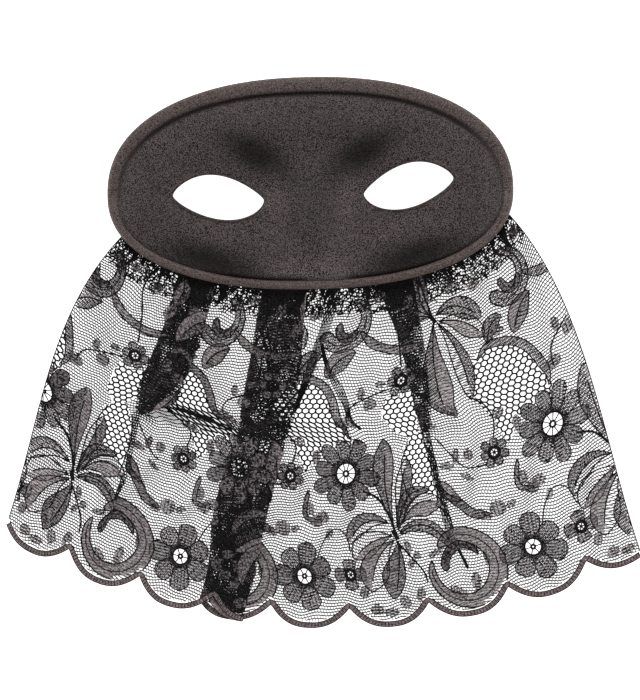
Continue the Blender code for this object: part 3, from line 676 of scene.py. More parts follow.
def make_binding(material):
    """Make the padded satin binding, rounder where the seam groove is deep."""
    rim, normals = even_outline(BINDING_STATIONS)
    width = binding_width(rim[:, 1])
    middle = rim - normals * width[:, None] / 2
    base = rim_height(middle[:, 0], middle[:, 1])
    depth = groove_depth(middle[:, 0], middle[:, 1])
    stitch = 0.5 + 0.5 * np.cos(2.0 * math.pi * SEAM_PUCKERS * np.arange(BINDING_STATIONS) / BINDING_STATIONS)
    points = []
    for side in range(BINDING_SIDES):
        turn = 2.0 * math.pi * (side + 0.5) / BINDING_SIDES
        cosine, sine = math.cos(turn), math.sin(turn)
        power = np.where(cosine < 0.0, SQUARE_INNER + (ROUND_INNER - SQUARE_INNER) * depth, ROUND_OUTER)
        pucker = PUCKER_DEPTH * depth * stitch * max(0.0, -cosine) ** 2
        out = np.sign(cosine) * np.abs(cosine) ** power * width / 2 + pucker
        rise = np.sign(sine) * np.abs(sine) ** power * BINDING_HEIGHT / 2 - pucker * max(0.0, sine)
        flat = middle + normals * out[:, None]
        points.append(np.column_stack((flat, base + BINDING_HEIGHT / 2 + rise)))
    points = np.stack(points, axis=1).reshape(-1, 3)
    faces = []
    for station in range(BINDING_STATIONS):
        after = (station + 1) % BINDING_STATIONS
        for side in range(BINDING_SIDES):
            beside = (side + 1) % BINDING_SIDES
            faces.append((station * BINDING_SIDES + side, after * BINDING_SIDES + side,
                          after * BINDING_SIDES + beside, station * BINDING_SIDES + beside))
    binding = add_piece("padded_binding", points, faces, material)
    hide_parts("edge_binding")
    return binding


EVEN_SHARES = np.linspace(0.0, 1.0, 101)


def crowded(share):
    """Return where an even share of the lace lies in the spread veil, closer on the left."""
    return share * (1.0 - CROWDING) + CROWDING * share ** 2


class Veil:
    """The lace veil's form: it maps flat lace to its place under the mask and on the table."""

    turn_length = math.pi * LAYER_PITCH / 2

    def __init__(self):
        self.rows = np.linspace(0.0, 1.0 + 1.2 * SCALLOP_DEPTH / LACE_LENGTH, VEIL_ROWS)
        self.across = np.linspace(0.0, LACE_WIDTH, VEIL_STEPS)
        sections = [self.section(row) for row in self.rows]
        self.shares, self.rises, self.tops = (np.array(t) for t in zip(*sections))
        self.make_heading()

    def pleats_at(self, row):
        """Return each pleat's middle along the flat lace, and its fold and width, at a row."""
        pleats = [named(PLEAT_COLUMNS, values) for values in PLEATS]
        widths = [float(np.interp(row, PLEAT_ROWS, pleat["widths"])) for pleat in pleats]
        folds = [max(width, self.turn_length * FOLD_ROOM) for width in widths]
        spread = LACE_WIDTH - 2.0 * sum(widths)
        hidden = 0.0
        found = []
        for pleat, width, fold in zip(pleats, widths, folds):
            share = float(np.interp(row, PLEAT_ROWS, pleat["left_sides"]))
            even = np.interp(share, crowded(EVEN_SHARES), EVEN_SHARES)
            found.append((even * spread + hidden + 1.5 * width, fold, width))
            hidden += 2.0 * width
        return found

    def section(self, row):
        """Return the veil's section at a row: share of the fan, rise, and stack height."""
        x = self.across
        step = x[1] - x[0]
        angle = np.zeros_like(x)
        calm = np.ones_like(x)
        ramps = []
        for middle, fold, width in self.pleats_at(row):
            depth = math.pi * float(smooth_step(width / self.turn_length))
            down = np.clip((x - middle + fold / 2) / self.turn_length + 0.5, 0.0, 1.0)
            back = np.clip((x - middle - fold / 2) / self.turn_length + 0.5, 0.0, 1.0)
            turn = depth * (back - down)
            angle += turn
            drop = -float(np.sum(np.sin(turn)) * step)
            start = middle - fold * 1.5 - 1.0
            end = middle + fold * 1.5 + 1.0
            ramps.append((drop, start, end))
            near = np.abs(x - middle) - 1.5 * fold
            calm *= smooth_step(near / PLEAT_APPROACH * 2.0)
        fade = float(smooth_step(1.0 - row * LACE_LENGTH / GATHER_LENGTH))
        ends = smooth_step(np.minimum(x, LACE_WIDTH - x) / CALM_END)
        wave = GATHER_SLOPE * fade * calm * ends
        phase = 2.0 * math.pi * GATHER_COUNT * x / LACE_WIDTH
        crest = wave * LACE_WIDTH / GATHER_COUNT / math.pi
        gather = crest * (0.5 - 0.5 * np.cos(phase))
        travelled = np.concatenate(([0.0], np.cumsum(np.cos(angle[1:]) * step)))
        rise = np.concatenate(([0.0], np.cumsum(np.sin(angle[1:]) * step)))
        top = np.zeros_like(x)
        for drop, start, end in ramps:
            climb = smooth_step((x - start) / PLEAT_APPROACH + 1.0)
            rise += drop * climb
            top += drop * climb * (1.0 - smooth_step((x - end) / PLEAT_APPROACH))
        return crowded(travelled / travelled[-1]), rise + gather, top + crest

    def make_heading(self):
        """Work out the heading's run along the lower edge of the mask."""
        angles = np.linspace(-math.pi, 0.0, HEADING_STEPS)
        points, normals = outline_points(angles)
        left = points[:, 0] < 0.0
        keep = np.where(left, points[:, 1] < HEADING_LEFT_Y, points[:, 1] < HEADING_RIGHT_Y)
        points = points[keep]
        normals = normals[keep]
        lengths = np.linalg.norm(np.diff(points, axis=0), axis=1)
        travelled = np.concatenate(([0.0], np.cumsum(lengths)))
        self.heading_shares = travelled / travelled[-1]
        self.heading_points = points - normals * HEADING_TUCK

    def lookup(self, table, x, row):
        """Read a table of rows at flat places, with straight steps between its entries."""
        column = np.clip(x / LACE_WIDTH * (len(self.across) - 1), 0, len(self.across) - 1.001)
        line = np.clip(row / self.rows[-1] * (len(self.rows) - 1), 0, len(self.rows) - 1.001)
        i = column.astype(int)
        j = line.astype(int)
        s = column - i
        t = line - j
        near = table[j, i] * (1.0 - s) + table[j, i + 1] * s
        far = table[j + 1, i] * (1.0 - s) + table[j + 1, i + 1] * s
        return near * (1.0 - t) + far * t

    def plan(self, share, row):
        """Return the place in plan at a share of the fan and a row, on a smooth curve."""
        start = np.stack([np.interp(share, self.heading_shares, self.heading_points[:, i])
                          for i in range(2)], axis=1)
        degrees = HEM_RIGHT_DEGREES + HEM_LEFT_DEGREES
        ray = np.radians(share * degrees - HEM_LEFT_DEGREES)
        end = np.stack((HEM_MIDDLE_X + HEM_RADIUS * np.sin(ray),
                        HEM_LOW_Y + HEM_RADIUS * (1.0 - np.cos(ray))), axis=1)
        fan = np.radians(FAN_DEGREES * np.tanh((share - FAN_MIDDLE) / FAN_SPREAD)
                         + FAN_TURN_DEGREES)
        flare = fan + np.radians(FLARE_DEGREES) * (2.0 * share - 1.0) ** 5
        third = LACE_LENGTH / 3
        leave = start + third * np.stack((np.sin(flare), -np.cos(flare)), axis=1)
        arrive = end - third * np.stack((np.sin(fan), -np.cos(fan)), axis=1)
        t = row[:, None]
        return (start * (1 - t) ** 3 + 3 * leave * t * (1 - t) ** 2
                + 3 * arrive * t ** 2 * (1 - t) + end * t ** 3)

    def place(self, x, down):
        """Return the middle of the lace at flat places, across and down from the heading."""
        row = down / LACE_LENGTH
        share = self.lookup(self.shares, x, row)
        rise = self.lookup(self.rises, x, row)
        top = self.lookup(self.tops, x, row)
        plan = self.plan(share, row)
        edge = self.plan(share, np.zeros_like(row))
        rim = rim_height(edge[:, 0], edge[:, 1])
        pressed = PRESSED_SHARE + (1.0 - PRESSED_SHARE) * smooth_step(down / PRESSED_LENGTH)
        hung = rim - CLEARANCE - SEWN_THREAD - (top - rise) * pressed
        laid = LACE_WALL / 2 + rise
        hang = 0.5 + 0.5 * np.cos(math.pi * np.clip(down / LANDING, 0.0, 1.0))
        height = np.where(hang > 0.0, hung * hang + laid * (1.0 - hang), laid)
        return np.column_stack((plan, np.maximum(height, LACE_WALL / 2)))

    def surface(self, flat):
        """Return places on the veil and its normals there, for points on the flat lace."""
        reach = 0.3
        x = np.clip(flat[:, 0], reach, LACE_WIDTH - reach)
        down = np.maximum(flat[:, 1], reach)
        along = self.place(x + reach, down) - self.place(x - reach, down)
        drop = self.place(x, down + reach) - self.place(x, down - reach)
        normals = np.cross(drop, along)
        normals /= np.maximum(np.linalg.norm(normals, axis=1), 1e-9)[:, None]
        return self.place(flat[:, 0], flat[:, 1]), normals


def hem_line(x):
    """Return how far down the lace its scalloped hem lies."""
    share = np.mod((x - SCALLOP_START) / SCALLOP_PITCH, 1.0)
    return LACE_LENGTH + SCALLOP_DEPTH * (1.0 - np.abs(2.0 * share - 1.0) ** SCALLOP_POWER)


def smooth_curve(points, step=THREAD_STEP):
    """Return a smooth curve through a few points, with even steps."""
    given = np.array(points, dtype=float)
    ends = np.concatenate((2 * given[:1] - given[1:2], given, 2 * given[-1:] - given[-2:-1]))
    spans = []
    for a, b, c, d in zip(ends[:-3], ends[1:-2], ends[2:-1], ends[3:]):
        t = np.linspace(0.0, 1.0, 12, endpoint=False)[:, None]
        spans.append(0.5 * (2 * b + (c - a) * t + (2 * a - 5 * b + 4 * c - d) * t ** 2
                            + (3 * b - a - 3 * c + d) * t ** 3))
    return even_steps(np.concatenate(spans + [given[-1:]]), step)


def even_steps(line, step=THREAD_STEP):
    """Return the same line with points at even steps."""
    lengths = np.linalg.norm(np.diff(line, axis=0), axis=1)
    travelled = np.concatenate(([0.0], np.cumsum(lengths)))
    count = max(2, int(math.ceil(travelled[-1] / step)) + 1)
    marks = np.linspace(0.0, travelled[-1], count)
    return np.stack([np.interp(marks, travelled, line[:, i]) for i in range(2)], axis=1)


def sides_of(line):
    """Return the direction to the left of a line at each point, seen along it."""
    along = np.gradient(line, axis=0)
    sides = np.stack((along[:, 1], -along[:, 0]), axis=1)
    return sides / np.maximum(np.linalg.norm(sides, axis=1), 1e-9)[:, None]


def leaf_shape(leaf):
    """Return a leaf's spine and the lines of its left and right edges."""
    root, bend, tip = (np.array(leaf[key], dtype=float) for key in ("root", "bend", "tip"))
    t = np.linspace(0.0, 1.0, 40)[:, None]
    spine = even_steps(root * (1 - t) ** 2 + 2 * bend * t * (1 - t) + tip * t ** 2, 1.0)
    share = np.linspace(0.0, 1.0, len(spine))
    power = math.log(0.5) / math.log(leaf["broadest"])
    swell = np.sin(math.pi * share ** power) ** 0.8
    sides = sides_of(spine)
    left = spine + sides * (swell * leaf["left"])[:, None]
    right = spine - sides * (swell * leaf["right"])[:, None]
    return spine, left, right


def petal_shape(middle, out, start, reach, half):
    """Return the outline of a petal with a rounded end, pointing away from a flower's middle."""
    share = np.sin(np.linspace(0.0, math.pi / 2, PETAL_POINTS))
    rounded = np.clip((share - PETAL_SHOULDER) / (1.0 - PETAL_SHOULDER), 0.0, 1.0)
    swell = PETAL_ROOT + (1.0 - PETAL_ROOT) * np.minimum(share / PETAL_SHOULDER, 1.0)
    swell = swell * np.sqrt(1.0 - rounded ** 2)
    across = np.array((-out[1], out[0]))
    spine = middle + out * (start + (reach - start) * share)[:, None]
    left = spine + across * (swell * half)[:, None]
    right = spine - across * (swell * half)[:, None]
    return np.concatenate((left, right[-2::-1]))


def scroll_shape(scroll):
    """Return a scroll band's centre line and the lines of its two edges."""
    degrees = np.linspace(scroll["start"], scroll["end"], 90)
    turn = np.radians(degrees)
    line = np.stack((scroll["x"] + scroll["across"] * np.cos(turn),
                     scroll["t"] + scroll["down"] * np.sin(turn)), axis=1)
    line = even_steps(line, 1.0)
    share = np.linspace(0.0, 1.0, len(line))
    width = np.interp(share, (0.0, 0.5, 1.0), scroll["widths"])
    width = width * np.clip(np.minimum(share, 1.0 - share) / 0.06, 0.0, 1.0) ** 0.5
    sides = sides_of(line)
    return line, line + sides * width[:, None] / 2, line - sides * width[:, None] / 2


def hatch(loop, degrees, spacing):
    """Return straight threads that fill a closed loop, in one direction."""
    turn = math.radians(degrees)
    there = np.array(((math.cos(turn), -math.sin(turn)), (math.sin(turn), math.cos(turn))))
    start = loop @ there
    end = np.roll(start, -1, axis=0)
    first = math.ceil(start[:, 1].min() / spacing)
    last = math.floor(start[:, 1].max() / spacing)
    threads = []
    for level in np.arange(first, last + 1) * spacing:
        crosses = (start[:, 1] > level) != (end[:, 1] > level)
        share = (level - start[crosses, 1]) / (end[crosses, 1] - start[crosses, 1])
        places = np.sort(start[crosses, 0] + share * (end[crosses, 0] - start[crosses, 0]))
        for low, high in zip(places[::2], places[1::2]):
            if high - low > SHORTEST_THREAD:
                count = max(2, int(math.ceil((high - low) / FILL_STEP)) + 1)
                x = np.linspace(low, high, count)
                threads.append(np.column_stack((x, np.full(count, level))) @ there.T)
    return threads


def ellipse(x, t, half_x, half_t, degrees=0.0, count=24):
    """Return a closed loop of an oval on the flat lace."""
    turns = np.linspace(0.0, 2.0 * math.pi, count, endpoint=False)
    oval = np.stack((half_x * np.cos(turns), half_t * np.sin(turns)), axis=1)
    turn = math.radians(degrees)
    spin = np.array(((math.cos(turn), math.sin(turn)), (-math.sin(turn), math.cos(turn))))
    return oval @ spin + (x, t)


class Pattern:
    """One repeat of the lace: filled shapes, cords, and where each kind of net lies."""

    fine, covered, coarse, bare = range(4)

    def __init__(self):
        self.columns = int(REPEAT / ZONE_CELL)
        self.rows = int((LACE_LENGTH + SCALLOP_DEPTH) / ZONE_CELL) + 1
        self.zones = np.zeros((self.rows, self.columns), dtype=int)
        self.fills = []
        self.cords = []
        for values in COARSE_PATCHES:
            patch = named(COARSE_COLUMNS, values)
            border = smooth_curve(patch["points"] + patch["points"][:1])[:-1]
            self.mark(border, self.coarse)
        for values in LEAVES:
            self.add_leaf(named(LEAF_COLUMNS, values))
        for values in SCROLLS:
            self.add_scroll(named(SCROLL_COLUMNS, values))
        for values in SPOTS:
            spot = named(SPOT_COLUMNS, values)
            self.fill(ellipse(*values), "spot", spot["degrees"], "leaves")
        for values in STEMS:
            self.add_stem(named(STEM_COLUMNS, values))
        for values in FLOWERS:
            self.add_flower(named(FLOWER_COLUMNS, values))

    def mark(self, loop, zone):
        """Write a zone into the cells inside a closed loop."""
        low = np.floor(loop.min(axis=0) / ZONE_CELL).astype(int)
        high = np.ceil(loop.max(axis=0) / ZONE_CELL).astype(int)
        columns, rows = np.meshgrid(np.arange(low[0], high[0] + 1), np.arange(low[1], high[1] + 1))
        cells = np.column_stack((columns.ravel(), rows.ravel()))
        cells = cells[(cells[:, 1] >= 0) & (cells[:, 1] < self.rows)]
        cells = cells[inside_loop((cells + 0.5) * ZONE_CELL, loop)]
        self.zones[cells[:, 1], cells[:, 0] % self.columns] = zone

    def zone_at(self, flat):
        """Return the zone of each point of the flat lace."""
        column = np.floor((flat[:, 0] - REPEAT_START) / ZONE_CELL).astype(int) % self.columns
        row = np.clip(np.floor(flat[:, 1] / ZONE_CELL).astype(int), 0, self.rows - 1)
        return self.zones[row, column]

    def fill(self, loop, kind, degrees, group):
        """Fill a closed loop with threads of a kind, and keep the net's bars out of it."""
        self.mark(loop, self.covered)
        self.fills.append((loop, kind, degrees, group))

    def add_leaf(self, leaf):
        """Add a leaf of two halves with its midrib and outline cords."""
        spine, left, right = leaf_shape(leaf)
        along = spine[-1] - spine[0]
        degrees = math.degrees(math.atan2(along[1], along[0]))
        for side, fill in ((left, leaf["left_fill"]), (right, leaf["right_fill"])):
            group = "pale" if fill == "light" else "leaves"
            self.fill(np.concatenate((spine, side[::-1])), fill, degrees + 90.0, group)
        self.cords.append((spine[: int(len(spine) * MIDRIB_SHARE)], MIDRIB_WIDTH))
        self.cords.append((np.concatenate((left, right[-2::-1])), OUTLINE_WIDTH))

    def add_stem(self, stem):
        """Add a cord, or where it is broad a filled band that narrows towards its ends."""
        line = smooth_curve(stem["points"])
        if stem["width"] < BAND_WIDTH:
            self.cords.append((line, stem["width"]))
            return
        share = np.linspace(0.0, 1.0, len(line))
        half = stem["width"] / 2 * np.clip(np.minimum(share, 1.0 - share) / 0.2, 0.12, 1.0) ** 0.7
        sides = sides_of(line) * half[:, None]
        self.fill(np.concatenate((line + sides, (line - sides)[::-1])), "dense", 20.0, "leaves")
        self.cords.append((line + sides, OUTLINE_WIDTH))
        self.cords.append((line - sides, OUTLINE_WIDTH))

    def add_scroll(self, scroll):
        """Add a scroll band with cords along its edges and its middle."""
        line, left, right = scroll_shape(scroll)
        group = "pale" if scroll["fill"] == "light" else "leaves"
        self.fill(np.concatenate((left, right[::-1])), scroll["fill"], 0.0, group)
        self.cords.append((left, MIDRIB_WIDTH))
        self.cords.append((right, MIDRIB_WIDTH))
        self.cords.append((line[4:-4], OUTLINE_WIDTH))

    def add_flower(self, flower):
        """Add a flower of rounded petals about an open heart with spokes."""
        middle = np.array((flower["x"], flower["t"]))
        heart = flower["heart"]
        petals = flower["petals"]
        half = flower["room"] * flower["reach"] * PETAL_SHOULDER * math.sin(math.pi / petals)
        for number in range(petals):
            degrees = flower["degrees"] + 360.0 * number / petals
            turn = math.radians(degrees)
            out = np.array((math.cos(turn), math.sin(turn)))
            reach = flower["reach"] * (1.0 + PETAL_UNEVEN * (-1) ** number)
            outline = petal_shape(middle, out, heart * 0.9, reach, half)
            self.fill(outline, "dense", degrees + 25.0, "flowers")
            self.cords.append((outline, PETAL_CORD))
        for turn in np.radians(np.arange(0.0, 360.0, 7.0)):
            out = np.array((math.cos(turn), math.sin(turn)))
            swirl = np.array((-out[1], out[0])) * heart * 0.16
            run = np.array((middle + out * heart * 0.9, middle + out * heart * 1.48 + swirl))
            self.cords.append((run, PETAL_CORD))
        ring = ellipse(*middle, heart, heart)
        self.mark(ring, self.bare)
        self.cords.append((np.concatenate((ring, ring[:1])), HEART_CORD))
        knot = ellipse(*middle, heart * HEART_KNOT, heart * HEART_KNOT)
        self.cords.append((np.concatenate((knot, knot[:1])), HEART_CORD))
        spokes = petals if petals > 8 else 6
        for number in range(spokes):
            turn = 2.0 * math.pi * number / spokes
            out = np.array((math.cos(turn), math.sin(turn)))
            self.cords.append((np.array((middle + out * heart * HEART_KNOT, middle + out * heart)),
                               PETAL_CORD))


def runs_inside(line, margin=0.0):
    """Split a line into the runs that lie on the lace."""
    on_lace = (line[:, 0] >= 0.2) & (line[:, 0] <= LACE_WIDTH - 0.2) & (line[:, 1] >= 0.0)
    on_lace &= line[:, 1] <= hem_line(line[:, 0]) - margin
    cuts = np.flatnonzero(np.diff(on_lace.astype(int))) + 1
    return [run for run, keep in zip(np.split(line, cuts), on_lace[np.concatenate(([0], cuts))])
            if keep and len(run) > 1]


def repeated(line):
    """Return the copies of a line in every repeat, cut to the lace."""
    first = int(math.floor(-line[:, 0].max() / REPEAT))
    last = int(math.ceil((LACE_WIDTH - line[:, 0].min()) / REPEAT))
    copies = []
    for number in range(first, last + 1):
        copies += runs_inside(line + (REPEAT_START + number * REPEAT, 0.0), EDGING_WIDTH)
    return copies


def on_net(pattern, flat, zones):
    """Tell which points lie on the lace inside its edging, and in one of some zones."""
    keep = np.isin(pattern.zone_at(flat), zones)
    keep &= flat[:, 1] < hem_line(flat[:, 0]) - EDGING_WIDTH
    return keep & (flat[:, 1] > 0.0) & (flat[:, 0] > 0.0) & (flat[:, 0] < LACE_WIDTH)


def kept_runs(line, keep):
    """Return the runs of a line whose steps are kept."""
    starts = np.flatnonzero(keep & ~np.concatenate(([False], keep[:-1])))
    ends = np.flatnonzero(keep & ~np.concatenate((keep[1:], [False])))
    return [line[start:end + 2] for start, end in zip(starts, ends)]


def waver(x, t):
    """Return how far a row of the fine ground strays up or down at places along it."""
    stray = np.zeros_like(x)
    for values in WAVERS:
        wave = named(WAVER_COLUMNS, values)
        turns = x / wave["run_x"] + t / wave["run_t"] + wave["bend"] * np.sin(t / wave["bend_run"])
        stray += wave["height"] * np.sin(2.0 * math.pi * turns)
    return stray


def ground_rows(pattern):
    """Return the wavering rows of the fine ground, which run on under the motifs."""
    x = np.minimum(np.arange(0.0, LACE_WIDTH + THREAD_STEP, THREAD_STEP), LACE_WIDTH)
    threads = []
    for row in range(int((LACE_LENGTH + SCALLOP_DEPTH) / ROW_PITCH) + 1):
        down = row * ROW_PITCH
        knots = ROW_KNOT * ((np.arange(len(x)) + row) % 2 - 0.5)
        line = np.column_stack((x, down + waver(x, down) + knots))
        middles = (line[1:] + line[:-1]) / 2
        threads += kept_runs(line, on_net(pattern, middles, (pattern.fine, pattern.covered)))
    return threads


def ground_bars(pattern):
    """Return the short slanted bars that join the rows of the fine ground."""
    count = int(LACE_WIDTH / BAR_PITCH)
    threads = []
    for row in range(int((LACE_LENGTH + SCALLOP_DEPTH) / ROW_PITCH)):
        x = (np.arange(count) + 0.25 + 0.5 * (row % 2)) * BAR_PITCH
        down = row * ROW_PITCH
        top = np.column_stack((x - BAR_SLANT / 2, down + waver(x, down)))
        low = np.column_stack((x + BAR_SLANT / 2, down + ROW_PITCH + waver(x, down + ROW_PITCH)))
        keep = on_net(pattern, (top + low) / 2, (pattern.fine,))
        threads += list(np.stack((top, low), axis=1)[keep])
    return threads


def coarse_net(pattern):
    """Return the threads of the six sided net: zigzag rows and the bars between."""
    number = np.arange(int(LACE_WIDTH / COARSE_CELL * 2) + 1)
    threads = []
    for row in range(int((LACE_LENGTH + SCALLOP_DEPTH) / COARSE_ROW) + 1):
        low = (number + row) % 2
        drop = COARSE_ZIGZAG * (low - 0.5)
        line = np.column_stack((number * COARSE_CELL / 2, row * COARSE_ROW + drop))
        middles = (line[1:] + line[:-1]) / 2
        threads += kept_runs(line, on_net(pattern, middles, (pattern.coarse,)))
        tops = line[low == 1]
        bars = np.stack((tops, tops + (0.0, COARSE_ROW - COARSE_ZIGZAG)), axis=1)
        threads += list(bars[on_net(pattern, bars.mean(axis=1), (pattern.coarse,))])
    return threads


def tuck_threads():
    """Return the threads of the small tucks and of the bunched net under the mask's rim."""
    dice = np.random.default_rng(TUCK_SEED)
    threads = []
    for number in range(TUCK_COUNT):
        middle = LACE_WIDTH * (number + dice.uniform(0.1, 0.9)) / TUCK_COUNT
        low, high = TUCK_LENGTHS
        length = low + (high - low) * dice.uniform() ** 2
        half = dice.uniform(*TUCK_HALF_WIDTHS)
        lean = dice.uniform(-TUCK_LEAN, TUCK_LEAN)
        phase = dice.uniform(0.0, 2.0 * math.pi)
        for side in np.arange(-half, half + TUCK_SPACING / 2, TUCK_SPACING):
            down = length * (1.0 - 0.6 * abs(side / half)) * dice.uniform(0.75, 1.0)
            t = np.linspace(0.2, down, max(3, int(down / THREAD_STEP)))
            x = middle + lean * t + side * (1.0 - 0.7 * t / length)
            x = x + TUCK_SWAY * np.sin(t / TUCK_SWAY_RUN + phase)
            threads.append(np.column_stack((x, t)))
    for number in range(BUNCH_COUNT):
        t = BUNCH_DEPTHS[0] + (BUNCH_DEPTHS[1] - BUNCH_DEPTHS[0]) * dice.uniform() ** 1.6
        turn = math.radians(dice.uniform(-BUNCH_LEAN_DEGREES, BUNCH_LEAN_DEGREES))
        reach = dice.uniform(*BUNCH_LENGTHS) / 2
        along = np.array((math.sin(turn), math.cos(turn)))
        middle = np.array((LACE_WIDTH * (number + 0.5) / BUNCH_COUNT, t))
        threads.append(middle + np.linspace(-reach, reach, 4)[:, None] * along)
    return [run for thread in threads for run in runs_inside(thread)]


def crease_threads():
    """Return the threads of the narrow creases, packed side by side."""
    threads = []
    for values in CREASES:
        crease = named(CREASE_COLUMNS, values)
        line = smooth_curve(crease["points"])
        share = np.linspace(0.0, 1.0, len(line))
        width = np.interp(share, np.linspace(0.0, 1.0, len(crease["widths"])), crease["widths"])
        sides = sides_of(line)
        count = int(max(crease["widths"]) / crease["spacing"]) + 1
        for place in np.linspace(-0.5, 0.5, count):
            threads += runs_inside(line + sides * (width * place)[:, None])
    return threads


def thread_mesh(veil, lines, widths, lift):
    """Return the points and faces of three sided threads laid along lines on the veil."""
    counts = np.array([len(line) for line in lines])
    flat = np.concatenate(lines)
    width = np.repeat(np.asarray(widths, dtype=float), counts)[:, None]
    centres, normals = veil.surface(flat)
    ends = np.cumsum(counts)
    starts = ends - counts
    along = np.empty_like(centres)
    along[1:-1] = centres[2:] - centres[:-2]
    along[starts] = centres[starts + 1] - centres[starts]
    along[ends - 1] = centres[ends - 1] - centres[ends - 2]
    side = np.cross(normals, along)
    side /= np.maximum(np.linalg.norm(side, axis=1), 1e-9)[:, None]
    centres = centres + normals * lift
    thickness = np.minimum(width, 0.9) * THREAD_DEPTH
    rings = np.stack((centres + side * width / 2 - normals * thickness / 3,
                      centres + normals * thickness * 2 / 3,
                      centres - side * width / 2 - normals * thickness / 3), axis=1)
    first = np.ones(len(flat), dtype=bool)
    first[ends - 1] = False
    here = np.flatnonzero(first) * 3
    quads = [np.stack((here + k, here + (k + 1) % 3, here + 3 + (k + 1) % 3, here + 3 + k), axis=1)
             for k in range(3)]
    faces = np.concatenate(quads).tolist()
    return rings.reshape(-1, 3), faces


def lay_threads(name, veil, lines, widths, material, lift=0.0):
    """Make one lace piece of many threads."""
    if np.isscalar(widths):
        widths = [widths] * len(lines)
    points, faces = thread_mesh(veil, lines, widths, lift)
    points[:, 2] = np.maximum(points[:, 2], 0.02)
    print(name, "threads", len(lines), "faces", len(faces))
    return add_piece(name, points, faces, material)


def edging_threads():
    """Return the hem's ladder edging: its two rails, the band between them and its rungs."""
    x = np.arange(0.0, LACE_WIDTH, 0.5)
    hem = np.column_stack((x, hem_line(x)))
    sides = sides_of(hem)
    inward = np.where(sides[:, 1:] > 0.0, -sides, sides)
    rails = [hem + inward * place for place in (EDGING_RAIL / 2, EDGING_WIDTH - EDGING_GAP)]
    lengths = np.linalg.norm(np.diff(hem, axis=0), axis=1)
    travelled = np.concatenate(([0.0], np.cumsum(lengths)))
    marks = np.arange(EDGING_PITCH / 2, travelled[-1], EDGING_PITCH)
    low = np.stack([np.interp(marks, travelled, rails[0][:, i]) for i in range(2)], axis=1)
    high = np.stack([np.interp(marks, travelled, rails[1][:, i]) for i in range(2)], axis=1)
    rungs = list(np.stack((low, high), axis=1))
    lines = [even_steps(rail, 1.0) for rail in rails]
    band = [even_steps(hem + inward * place, 1.0) for place in EDGING_BANDS]
    return lines, band, rungs


def node_group(material):
    """Return a material's nodes, links and its Principled shader."""
    material.use_nodes = True
    nodes = material.node_tree.nodes
    return nodes, material.node_tree.links, nodes["Principled BSDF"]


def make_satin(name, dark, light, roughness, grain, painted_shading=None):
    """Make a fine grained satin: speckled woven colour, soft clouding, a bump of its weave, and shade and
    light painted from a colour attribute when one is named.
    """
    material = bpy.data.materials.new(name)
    nodes, links, shader = node_group(material)
    place = nodes.new("ShaderNodeTexCoord")
    speckle = nodes.new("ShaderNodeTexNoise")
    speckle.inputs["Scale"].default_value = 2350.0
    speckle.inputs["Detail"].default_value = 1.0
    speckle.inputs["Roughness"].default_value = 0.6
    cloud = nodes.new("ShaderNodeTexNoise")
    cloud.inputs["Scale"].default_value = 60.0
    cloud.inputs["Detail"].default_value = 4.0
    ramp = nodes.new("ShaderNodeValToRGB")
    ramp.color_ramp.elements[0].position = 0.5 - grain
    ramp.color_ramp.elements[0].color = (*dark, 1.0)
    ramp.color_ramp.elements[1].position = 0.5 + grain
    ramp.color_ramp.elements[1].color = (*light, 1.0)
    tint = nodes.new("ShaderNodeMix")
    tint.data_type = "RGBA"
    tint.blend_type = "MULTIPLY"
    tint.inputs["B"].default_value = (0.86, 0.83, 0.84, 1.0)
    bump = nodes.new("ShaderNodeBump")
    bump.inputs["Strength"].default_value = 0.35
    bump.inputs["Distance"].default_value = 0.0002
    links.new(place.outputs["Object"], speckle.inputs["Vector"])
    links.new(place.outputs["Object"], cloud.inputs["Vector"])
    links.new(speckle.outputs["Fac"], ramp.inputs["Fac"])
    links.new(ramp.outputs["Color"], tint.inputs["A"])
    links.new(cloud.outputs["Fac"], tint.inputs["Factor"])
    links.new(tint.outputs["Result"], shader.inputs["Base Color"])
    # Painted shade and light: the colour is multiplied by the painted shading attribute
    if painted_shading:
        shade = nodes.new("ShaderNodeVertexColor")
        shade.layer_name = painted_shading
        darken = nodes.new("ShaderNodeMix")
        darken.data_type = "RGBA"
        darken.blend_type = "MULTIPLY"
        darken.inputs["Factor"].default_value = 1.0
        links.new(tint.outputs["Result"], darken.inputs["A"])
        links.new(shade.outputs["Color"], darken.inputs["B"])
        links.new(darken.outputs["Result"], shader.inputs["Base Color"])
    links.new(speckle.outputs["Fac"], bump.inputs["Height"])
    links.new(bump.outputs["Normal"], shader.inputs["Normal"])
    shader.inputs["Roughness"].default_value = roughness
    shader.inputs["Sheen Weight"].default_value = 0.12
    shader.inputs["Sheen Roughness"].default_value = 0.45
    shader.inputs["Sheen Tint"].default_value = (0.80, 0.58, 0.50, 1.0)
    shader.inputs["Specular IOR Level"].default_value = 0.15
    return material


